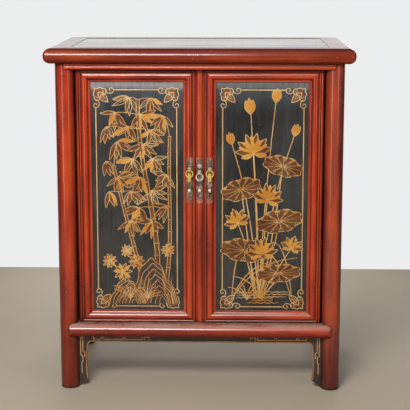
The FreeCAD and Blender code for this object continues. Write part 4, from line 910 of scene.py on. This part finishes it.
@dataclass
class Painter:
    """Draws a door's plant in gilt line work over darker and brighter washes, in millimetres."""

    lines: Brush
    washes: Brush
    lights: Brush
    grounds: Ground
    left: float
    bottom: float
    width: float
    height: float
    seed: int
    ornament: float = 50.0
    step: float = 0.12
    chance: random.Random = field(init=False)
    layer: float = field(init=False, default=0.0)

    def __post_init__(self) -> None:
        """Seed the hand's unevenness."""
        self.chance = random.Random(self.seed)

    def at(self, u: float, v: float) -> Point:
        """Give a point of the panel from shares of its width and height."""
        return self.left + u * self.width, self.bottom + v * self.height

    def inside(self, point: Spot) -> bool:
        """Tell whether a point lies within the border and clear of its corners.

        Args:
            point: The point, in millimetres.

        Returns:
            Whether it may be painted.
        """
        across, up = point[0] - self.left, point[1] - self.bottom
        if not (0.0 < across < self.width and 0.0 < up < self.height):
            return False
        return min(across, self.width - across) + min(up, self.height - up) > self.ornament

    def lift(self, outline: Sequence[Spot]) -> None:
        """Cover what was painted before with an empty shape, and go on painting above it.

        Args:
            outline: The shape's rim.
        """
        self.layer += self.step
        self.grounds.fill(outline, self.layer)
        for brush, above in ((self.washes, 0.01), (self.lights, 0.02), (self.lines, 0.04)):
            brush.layer = self.layer + above

    def blade(self, base: Spot, angle: float, length: float, width: float, wash: Brush | None) -> None:
        """Draw a slender pointed leaf with a midrib.

        Args:
            base: Where it grows from.
            angle: Its direction in radians from +X.
            length: Its length.
            width: Its greatest width.
            wash: What it is filled with.
        """
        bend = self.chance.uniform(-0.22, 0.22)
        along, across = heading(angle)

        def spot(share: float, side: float) -> Vector:
            """Give a point of the leaf."""
            middle = Vector(base) + along * length * share
            return middle + across * (side * width * 0.5 + bend * length * share * share)

        if not self.inside(spot(1.0, 0.0)):
            return
        if wash is not None:
            wash.stroke([spot(share, 0.12) for share in (0.04, 0.35, 0.7, 1.0)], width * 0.6, (0.2, 0.1), 0.3)
        for side in (-1.0, 1.0):
            self.lines.stroke([spot(0.0, 0.0), spot(0.25, side), spot(0.62, side), spot(1.0, 0.0)], 1.15)
        self.lines.stroke([spot(0.05, 0.0), spot(0.5, 0.0), spot(0.86, 0.0)], 0.75, (1.0, 0.5))

    def spray(self, base: Spot, angle: float, count: int, length: float) -> None:
        """Draw leaves that fan from one point.

        Args:
            base: Where they grow from.
            angle: The fan's middle direction in radians.
            count: Number of leaves.
            length: Their length.
        """
        for index in range(count):
            turn = (index - (count - 1) / 2) * 0.46 + self.chance.uniform(-0.10, 0.10)
            wash = self.chance.choice((self.washes, self.washes, self.lights, None))
            self.blade(base, angle + turn, length * self.chance.uniform(0.75, 1.1),
                       length * self.chance.uniform(0.20, 0.27), wash)

    def cane(self, path: Sequence[Point], width: float, joints: int) -> list[Vector]:
        """Draw a bamboo cane as two edges with a ring at each joint.

        Args:
            path: Its middle line, as four points of a curve.
            width: Its width.
            joints: Number of joints.

        Returns:
            Where its joints are, from the foot up.
        """
        a, b, c, d = (Vector(p) for p in path)

        def middle(t: float) -> Vector:
            """Give a point of the middle line."""
            s = 1.0 - t
            return a * s ** 3 + b * 3 * s * s * t + c * 3 * s * t * t + d * t ** 3

        knots = []
        for index in range(joints):
            foot, head = (index + 0.04) / joints, (index + 0.96) / joints
            spots = [middle(foot + (head - foot) * share) for share in (0.0, 0.5, 1.0)]
            run = (spots[2] - spots[0]).normalized()
            across = Vector((-run.y, run.x))
            half = width * 0.5 * (1.0 - 0.35 * head)
            for side in (-1.0, 1.0):
                edge = [spot + across * side * half * flare for spot, flare in zip(spots, (1.2, 0.85, 1.2))]
                self.lines.stroke(edge, 1.2)
            self.washes.stroke(spots, half * 1.6)
            self.lights.stroke([spot + across * half * 0.3 for spot in spots], half * 0.7)
            knot = spots[2]
            self.lines.stroke([knot - across * half * 1.5, knot + run * 1.6, knot + across * half * 1.5], 1.3)
            knots.append(knot)
        return knots

    def stem(self, shares: Sequence[Point], width: float) -> None:
        """Draw a stalk as one tapering stroke through points given as shares of the panel."""
        self.lines.stroke([self.at(u, v) for u, v in shares], width, (1.0, 0.7))

    def petal(self, base: Point, angle: float, length: float, width: float, wash: Brush) -> None:
        """Draw one pointed petal with its wash and ribs.

        Args:
            base: Its foot.
            angle: Its direction in radians.
            length: Its length.
            width: Its width.
            wash: What it is filled with.
        """
        along, across = heading(angle)

        def spot(share: float, side: float) -> Vector:
            """Give a point of the petal."""
            return Vector(base) + along * length * share + across * width * side

        wash.stroke([spot(share, 0.0) for share in (0.05, 0.4, 0.72, 1.0)], width * 0.85, (0.3, 0.1), 0.2)
        for side in (-1.0, 1.0):
            edge = [spot(0.0, 0.0), spot(0.35, side * 0.5), spot(0.75, side * 0.45), spot(1.05, 0.0)]
            self.lines.stroke(edge, 1.2)
            self.lines.stroke([spot(0.2, side * 0.08), spot(0.72, side * 0.2)], 0.8)

    def blossom(self, middle: Point, radius: float, petals: int, lean: float = 0.0) -> None:
        """Draw a lotus seen from the side, with two rows of pointed petals over its empty outline.

        Args:
            middle: The foot of the petals.
            radius: Their length.
            petals: Number in the front row.
            lean: Its tilt in radians.
        """
        angles = [lean + index * 0.25 for index in range(-1, 14)]
        self.lift([(middle[0] + math.cos(angle) * radius * 0.8,
                    middle[1] + math.sin(angle) * radius * 0.8 + radius * 0.1) for angle in angles])
        for row, (reach, spread, wash) in enumerate(((1.0, 1.05, self.washes), (0.86, 0.80, self.lights))):
            for index in range(petals + row):
                share = (index + 0.5) / (petals + row) - 0.5
                angle = math.pi / 2 + lean - share * math.pi * spread
                self.petal(middle, angle, radius * reach * (1.0 - 0.3 * abs(share)), radius * 0.34, wash)
        for side in (-1, 1):
            self.petal(middle, math.pi / 2 + lean - side * 1.85, radius * 0.62, radius * 0.30, self.lights)

    def bud(self, middle: Point, length: float, lean: float) -> None:
        """Draw a closed bud of three petals.

        Args:
            middle: The foot of the petals.
            length: Their length.
            lean: Its tilt in radians.
        """
        for side in (-1, 1, 0):
            reach = length * (1.0 - 0.1 * abs(side))
            self.petal(middle, math.pi / 2 + lean + side * 0.26, reach, length * 0.42, self.lights)

    def rosette(self, middle: Point, radius: float, petals: int) -> None:
        """Draw a many-petalled flower seen from the front.

        Args:
            middle: Its centre.
            radius: Its radius.
            petals: Number of petals.
        """
        for index in range(petals):
            angle = math.tau * index / petals + self.chance.uniform(-0.08, 0.08)
            self.petal(middle, angle, radius * self.chance.uniform(0.85, 1.05), radius * 0.34,
                       self.lights if index % 2 else self.washes)

    def pad(self, middle: Point, radius: float, squash: float, tilt: float) -> None:
        """Draw a broad round leaf with a waved rim and forked ribs.

        Args:
            middle: Where its ribs meet.
            radius: Its half width.
            squash: Its height as a share of its width.
            tilt: Its turn in radians.
        """
        turn = Matrix.Rotation(tilt, 2)

        def spot(angle: float, share: float) -> Vector:
            """Give a point on the way from the middle to the rim.

            Args:
                angle: Its turn round the middle, in radians.
                share: How far out it lies, as a share.

            Returns:
                The point, in millimetres.
            """
            wave = 1.0 + 0.07 * math.sin(angle * 8 + self.seed) * share
            flat = Vector((math.cos(angle), math.sin(angle) * squash)) * radius * wave * share
            return Vector(middle) + turn @ flat

        steps, ribs = 40, 12
        rim = [spot(math.tau * index / steps, 1.0) for index in range(steps)]
        self.lift(rim)
        for index in range(ribs):
            angle = math.tau * (index + 0.5) / ribs
            fan = [spot(angle, share) for share in (0.15, 0.5, 0.96)]
            self.washes.stroke(fan, radius * 0.40 * (squash + 0.3), (0.2, 1.0))
            angle = math.tau * index / ribs
            rib = [spot(angle, 0.06), spot(angle + 0.06, 0.5), spot(angle, 0.97)]
            self.lines.stroke(rib, 1.0, (1.2, 0.8))
            for fork in (-0.13, 0.13):
                self.lines.stroke([spot(angle + 0.03, 0.55), spot(angle + fork, 0.93)], 0.7)
        self.lines.stroke(rim + rim[:1], 1.5)
        self.lights.stroke([spot(math.tau * index / steps, 0.9) for index in range(2, 19)], 2.6)

    def rock(self, base: Point, width: float, height: float) -> None:
        """Draw a jagged rock from nested contours and hatching.

        Args:
            base: The middle of its foot.
            width: Its width.
            height: Its height.
        """
        profile = [(-0.5, 0.0), (-0.47, 0.30), (-0.33, 0.42), (-0.30, 0.74), (-0.14, 0.86), (-0.04, 1.0),
                   (0.08, 0.84), (0.20, 0.80), (0.28, 0.52), (0.42, 0.44), (0.50, 0.20), (0.54, 0.0)]
        self.lift([(base[0] + width * u, base[1] + height * v) for u, v in profile])
        for ring in range(8):
            shrink = 1.0 - ring * 0.12
            path = [(base[0] + width * (u * shrink + 0.03 * ring) + self.chance.uniform(-1.5, 1.5),
                     base[1] + height * v * shrink + self.chance.uniform(-1.5, 1.5)) for u, v in profile]
            self.lines.stroke(path, 1.5 - ring * 0.08)
            if ring % 2 == 0:
                self.washes.stroke([(x + 2, z - 2) for x, z in path], 6.0)
        for _ in range(26):
            x = base[0] + width * self.chance.uniform(-0.38, 0.40)
            z = base[1] + height * self.chance.uniform(0.05, 0.6)
            self.lines.stroke([(x, z), (x + 4, z + 8), (x + 3, z + 15)], 0.9, (1.0, 0.5))

    def grass(self, base: Point, count: int, length: float, lean: float) -> None:
        """Draw a tuft of long leaves that arch over.

        Args:
            base: Its foot.
            count: Number of leaves.
            length: Their length.
            lean: Direction of the middle leaf from upright, in radians.
        """
        for index in range(count):
            angle = math.pi / 2 + lean + (index - (count - 1) / 2) * 0.26 + self.chance.uniform(-0.08, 0.08)
            reach = length * self.chance.uniform(0.7, 1.1)
            x, z = base
            tip = (x + math.cos(angle) * reach * 1.5, z + math.sin(angle) * reach * 0.75)
            if not self.inside(tip):
                continue
            knee = (x + math.cos(angle) * reach * 0.5, z + math.sin(angle) * reach * 0.7)
            self.lights.stroke([(x, z), knee, tip], 3.2, (0.5, 0.2), 0.4)
            for side in (-1.5, 1.5):
                self.lines.stroke([(x, z), (knee[0] + side, knee[1] + abs(side)), tip], 0.9)

    def ripples(self, middle: Point, width: float, rows: int) -> None:
        """Draw water as rows of short waved lines.

        Args:
            middle: The middle of the uppermost row.
            width: The rows' greatest width.
            rows: Number of rows.
        """
        steps = 9
        for row in range(rows):
            left = middle[0] - width * 0.5 * self.chance.uniform(0.6, 1.0)
            right = middle[0] + width * 0.5 * self.chance.uniform(0.6, 1.0)
            z = middle[1] - row * 7.0
            wave = [(left + (right - left) * step / steps, z + (2.2 if step % 2 else -2.2))
                    for step in range(steps + 1)]
            self.lines.stroke(wave, 1.0, (0.6, 0.6), 0.4)


@dataclass
class Bamboo(Painter):
    """Bamboo with hanging leaves over rocks, flowers and grass, laid out in shares of the panel."""

    canes: tuple[tuple[tuple[Point, ...], float, int, int], ...] = (
        (((0.86, 0.06), (0.98, 0.30), (0.90, 0.50), (0.93, 0.80)), 9.0, 12, 3),
        (((0.60, 0.06), (0.46, 0.28), (0.34, 0.42), (0.20, 0.66)), 9.0, 11, 3),
        (((0.74, 0.06), (0.86, 0.36), (0.50, 0.62), (0.52, 0.97)), 12.0, 15, 4),
    )
    rows: int = 9
    columns: int = 3
    first: Point = (0.12, 0.975)
    pitch: Point = (0.30, 0.072)
    stagger: float = 0.14
    gaps: tuple[tuple[int, int], ...] = ((0, 0), (3, 2), (8, 0), (7, 0))
    rocks: tuple[Triple, ...] = ((0.70, 0.60, 0.23), (0.36, 0.46, 0.13))
    flowers: tuple[Triple, ...] = (
        (0.30, 0.155, 27), (0.13, 0.205, 21), (0.48, 0.205, 23), (0.36, 0.255, 18), (0.90, 0.26, 20))
    tufts: tuple[tuple[float, int, float, float], ...] = ((0.40, 9, 62, 0.5), (0.62, 7, 48, -0.3))

    def draw(self) -> None:
        """Draw the whole plant."""
        knots = []
        for shares, width, joints, first in self.canes:
            knots += self.cane([self.at(u, v) for u, v in shares], width, joints)[first:]
        for row in range(self.rows):
            for column in range(self.columns):
                aside = self.stagger if row % 2 else 0.0
                u = self.first[0] + self.pitch[0] * column + aside + self.chance.uniform(-0.04, 0.04)
                v = self.first[1] - self.pitch[1] * row + self.chance.uniform(-0.014, 0.014)
                if (row, column) not in self.gaps:
                    self.branch(knots, self.at(u, v))
        for u, width, height in self.rocks:
            self.rock(self.at(u, 0.0), self.width * width, self.height * height)
        for u, v, radius in self.flowers:
            self.rosette(self.at(u, v), radius, 10)
        for u, count, length, lean in self.tufts:
            self.grass(self.at(u, 0.02), count, length, lean)

    def branch(self, knots: Sequence[Vector], tip: Point) -> None:
        """Draw a twig from the nearest joint, and its hanging spray.

        Args:
            knots: The joints that twigs may grow from.
            tip: Where the spray hangs.
        """
        knot = min(knots, key=lambda spot: math.dist(spot, (tip[0], tip[1] - 12.0)))
        length = self.chance.uniform(44, 56)
        self.lines.stroke([knot, ((knot[0] + tip[0]) / 2, max(knot[1], tip[1]) + 2.0), tip], 1.4, (1.0, 0.7))
        lean = -0.5 if tip[0] < knot[0] else 0.5
        angle = -math.pi / 2 + lean + self.chance.uniform(-0.15, 0.15)
        self.spray(tip, angle, self.chance.choice((6, 6, 7)), length)


@dataclass
class Lotus(Painter):
    """Lotus and reeds in water, laid out in shares of the panel."""

    reeds: tuple[Triple, ...] = ((0.10, 0.10, 190), (0.90, -0.12, 230), (0.50, -0.05, 150))
    buds: tuple[tuple[float, ...], ...] = (
        (0.34, 0.90, 44, 0.12), (0.66, 0.955, 38, -0.12), (0.90, 0.80, 34, -0.3), (0.10, 0.76, 34, 0.25))
    pads: tuple[tuple[float, ...], ...] = (
        (0.76, 0.66, 54, 0.50, -0.25), (0.22, 0.55, 56, 0.52, 0.30), (0.72, 0.40, 62, 0.50, 0.20),
        (0.27, 0.26, 66, 0.48, -0.12), (0.72, 0.15, 60, 0.42, 0.10))
    blooms: tuple[tuple[float, ...], ...] = (
        (0.38, 0.72, 56, 6, 0.12), (0.56, 0.50, 48, 6, -0.2), (0.18, 0.39, 42, 5, 0.35),
        (0.50, 0.24, 50, 6, 0.1), (0.88, 0.27, 36, 5, -0.3))
    water: tuple[Point, ...] = ((0.30, 0.055), (0.66, 0.06), (0.50, 0.03))

    def draw(self) -> None:
        """Draw the whole plant."""
        for u, lean, length in self.reeds:
            self.grass(self.at(u, 0.02), 11, length, lean)
        for u, v, length, lean in self.buds:
            self.stem([(0.46, 0.03), (0.44 + 0.3 * (u - 0.4), 0.5), (u, v)], 2.2)
            self.bud(self.at(u, v), length, lean)
        for pad, bloom in zip(self.pads, self.blooms):
            u, v, radius, squash, tilt = pad
            self.stem([(0.38 + 0.12 * u, 0.03), (u * 0.6 + 0.2, v * 0.5), (u, v)], 2.6)
            self.pad(self.at(u, v), radius, squash, tilt)
            u, v, radius, petals, lean = bloom
            self.stem([(0.42 + 0.08 * u, 0.03), (0.30 + 0.4 * u, v * 0.55), (u, v)], 2.2)
            self.blossom(self.at(u, v), radius, petals, lean)
        self.grass(self.at(0.30, 0.02), 7, 60, 0.1)
        for u, v in self.water:
            self.ripples(self.at(u, v), self.width * 0.44, 3)


@dataclass
class Door:
    """One door: lacquered frame, black panel, gilt border and painting, with its margins in millimetres."""

    side: Side
    motif: Motif
    margin_centre: float = 18.0
    margin_hinge: float = 13.5
    margin_low: float = 10.5
    margin_top: float = 22.0
    tongue: float = 6.0
    inset: Point = (5.0, 8.0)
    haze: float = 0.95
    hand: int = 3
    seed: float = 20.0

    def name(self, piece: str) -> str:
        """Give a piece's node name."""
        return f"door_{self.side.value}_{piece}"

    def build(self) -> None:
        """Dress the frame and the panel, and paint the panel."""
        dress(RedLacquer(self.name("hinge_lacquer"), Grain.Z, thick=0.44, seed=self.seed),
              self.name("hinge_stile"))
        dress(RedLacquer(self.name("meeting_lacquer"), Grain.Z, thick=0.42, gloss=0.36, seed=self.seed + 1),
              self.name("meeting_stile"))
        dress(RedLacquer(self.name("rail_lacquer"), Grain.X, (0.36, 0.045, 0.020), dust=0.60, rubbed=0.55,
                         thick=0.46, coat=0.9, coat_gloss=0.20, seed=self.seed + 2),
              self.name("top_rail"), self.name("bottom_rail"))
        dress(OldWood(self.name("batten_wood"), Grain.X, seed=self.seed), self.name("battens"))
        low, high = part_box(self.name("panel"))
        dress(BlackLacquer(self.name("panel_lacquer"), haze_top=high.z - self.tongue * MM, haze=self.haze,
                           seed=self.seed), self.name("panel"))
        self.paint(low, high)

    def border(self, low: Vector, high: Vector) -> Border:
        """Lay out the border within the seen part of the panel.

        Args:
            low: The panel's lowest corner.
            high: Its highest corner.

        Returns:
            The border.
        """
        margins = (self.margin_centre + self.tongue, self.margin_hinge + self.tongue)
        left, right = margins[::-1] if self.side is Side.LEFT else margins
        return Border(low.x / MM + left, high.x / MM - right, low.z / MM + self.margin_low + self.tongue,
                      high.z / MM - self.margin_top - self.tongue)

    def paint(self, low: Vector, high: Vector) -> None:
        """Paint the border and the plant on the panel.

        Args:
            low: The panel's lowest corner.
            high: Its highest corner.
        """
        y = low.y
        edge = Brush(self.name("gilt_border"), y, 0.12)
        corners = Brush(self.name("gilt_corner_grounds"), y, 0.03)
        lines = Brush(self.name("gilt_lines"), y, pen=1.55)
        washes = Brush(self.name("gilt_washes"), y, 0.03)
        lights = Brush(self.name("gilt_lights"), y, 0.04)
        grounds = Ground(self.name("painting_grounds"), y)
        border = self.border(low, high)
        border.draw(edge, corners)
        aside, above = self.inset
        kind = Bamboo if self.motif is Motif.BAMBOO else Lotus
        width, height = border.right - border.left - 2 * aside, border.top - border.bottom - 2 * above
        plant = kind(lines, washes, lights, grounds, border.left + aside, border.bottom + above,
                     width, height, self.hand)
        plant.draw()
        layers = (
            (edge, "border_gilt", (0.74, 0.49, 0.23), (0.62, 0.32, 0.10), (0.20, 0.10, 0.035), 0.40),
            (corners, "corner_wash", (0.26, 0.085, 0.020), (0.15, 0.04, 0.015), (0.04, 0.02, 0.012), 0.8),
            (lines, "line_gilt", (0.68, 0.43, 0.19), (0.58, 0.28, 0.075), (0.20, 0.10, 0.035), 0.50),
            (washes, "wash_gilt", (0.19, 0.065, 0.014), (0.12, 0.036, 0.010), (0.04, 0.026, 0.015), 0.8),
            (lights, "light_gilt", (0.66, 0.32, 0.045), (0.54, 0.21, 0.025), (0.24, 0.09, 0.02), 0.6),
        )
        for brush, name, *look in layers:
            brush.piece(Gilt(self.name(name), *look), f"{self.side.value}_door")
        grounds.piece(BlackLacquer(self.name("ground_lacquer"), seed=self.seed), f"{self.side.value}_door")


@dataclass
class CentreStile:
    """The loose stile between the doors."""

    def build(self) -> None:
        """Lacquer the stile."""
        dress(RedLacquer("centre_stile_lacquer", Grain.Z, thick=0.42, seed=41.0), "centre_stile")


@dataclass
class Hardware:
    """Brass strips, staples, lugs, boss and pulls."""

    def build(self) -> None:
        """Give the brass its tarnish."""
        low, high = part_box("lock_plate_right")
        dress(Brass("strip_brass", (0.46, 0.33, 0.25), (0.10, 0.055, 0.040), 0.56, 0.55, 0.40,
                    (low.z, high.z)),
              *paired("lock_plate"), "lock_plate_centre")
        dress(Brass("fitting_brass", (0.66, 0.55, 0.44), (0.20, 0.14, 0.10), 0.38, 0.60, 0.48),
              *paired("plate_fittings"), "plate_fittings_centre", "centre_pull")
        dress(Brass("pull_brass", (0.88, 0.57, 0.14), (0.36, 0.18, 0.04), 0.36, 0.55, 0.34),
              *paired("door_pull"))


# ---------------------------------------------------------------- studio
@dataclass(frozen=True)
class Lamp:
    """One soft rectangular light."""

    name: str
    place: Triple
    size: Point
    watts: float
    target: Triple = (0.0, -0.1, 0.5)

    def hang(self) -> None:
        """Put the light in the scene."""
        lamp = bpy.data.lights.new(self.name, "AREA")
        lamp.shape = "RECTANGLE"
        lamp.size, lamp.size_y = self.size
        lamp.energy = self.watts
        holder = link(self.name, lamp)
        holder.location = self.place
        holder.visible_camera = False
        holder.rotation_euler = (Vector(self.target) - Vector(self.place)).to_track_quat("-Z", "Y").to_euler()


@dataclass
class Studio:
    """Floor, soft lights, surround and camera."""

    eye: Triple = (0.09483, -3.47936, 1.19405)
    yaw: float = 1.4002
    pitch: float = 10.332
    lens: float = 106.07
    sensor: float = 36.0
    drop: float = -0.06
    wall: Colour = (0.84, 0.845, 0.85)
    behind: float = 1.0
    before: float = 0.08
    dusk: Point = (0.55, 0.92)
    half_floor: Point = (4.0, 2.6)
    floor_end: float = 1.14
    lamps: tuple[Lamp, ...] = (
        Lamp("high_window", (-0.42, -2.30, 1.98), (0.90, 0.60), 60.0),
        Lamp("tall_window", (-1.35, -2.30, 0.95), (0.34, 1.80), 12.0),
        Lamp("right_fill", (1.90, -2.20, 1.10), (0.30, 1.60), 7.0),
        Lamp("back_bounce", (0.0, 1.30, 0.70), (1.4, 0.5), 9.0, (0.0, 0.0, 0.0)),
        Lamp("ceiling", (0.0, -1.2, 3.2), (3.0, 2.0), 10.0),
    )

    def build(self) -> None:
        """Set the stage."""
        bpy.context.scene.view_settings.view_transform = "Standard"
        self.lay_floor()
        self.surround()
        for lamp in self.lamps:
            lamp.hang()
        self.place_camera()

    def lay_floor(self) -> None:
        """Lay a plain pale floor that ends behind the cabinet."""
        bm = bmesh.new()
        bmesh.ops.create_grid(bm, x_segments=1, y_segments=1, size=1.0)
        bmesh.ops.scale(bm, vec=(*self.half_floor, 1.0), verts=bm.verts)
        bmesh.ops.translate(bm, vec=(0.0, self.floor_end - self.half_floor[1], 0.0), verts=bm.verts)
        mesh = bpy.data.meshes.new("floor")
        bm.to_mesh(mesh)
        bm.free()
        mesh.materials.append(PlainFloor("floor_finish").material())
        floor = link("floor", mesh)

    def surround(self) -> None:
        """Make a surround that is bright to the camera, and else bright behind and dim before the cabinet."""
        world = bpy.data.worlds.new("surround")
        tree = Tree(world)
        depth = tree.split("Generated", "Y").ease(*self.dusk)
        seen = tree.result("ShaderNodeLightPath", output="Is Camera Ray")
        strength = depth.math("MAXIMUM", depth, seen) * (self.behind - self.before) + self.before
        glow = tree.result("ShaderNodeBackground", sockets={"Color": self.wall, "Strength": strength})
        tree.node("ShaderNodeOutputWorld", sockets={"Surface": glow})
        bpy.context.scene.world = world

    def place_camera(self) -> None:
        """Place the camera in front, above the top and a little right of the middle."""
        data = bpy.data.cameras.new("camera")
        data.lens = self.lens
        data.sensor_width = self.sensor
        data.sensor_fit = "HORIZONTAL"
        data.shift_y = self.drop
        camera = link("camera", data)
        camera.location = self.eye
        camera.rotation_euler = (math.radians(90.0 - self.pitch), 0.0, math.radians(self.yaw))
        bpy.context.scene.camera = camera


def main() -> None:
    """Build every sub-assembly in order."""
    logging.basicConfig(level=logging.INFO, format="%(name)s: %(message)s")
    left_door = Door(Side.LEFT, Motif.BAMBOO)
    right_door = Door(Side.RIGHT, Motif.LOTUS, haze=0.40, hand=5, seed=31.0)
    for part in (Carcass(), Apron(), left_door, right_door, CentreStile(), Hardware(), Studio()):
        part.build()
        LOG.info("built %s", type(part).__name__)


if __name__ == "__main__":
    main()
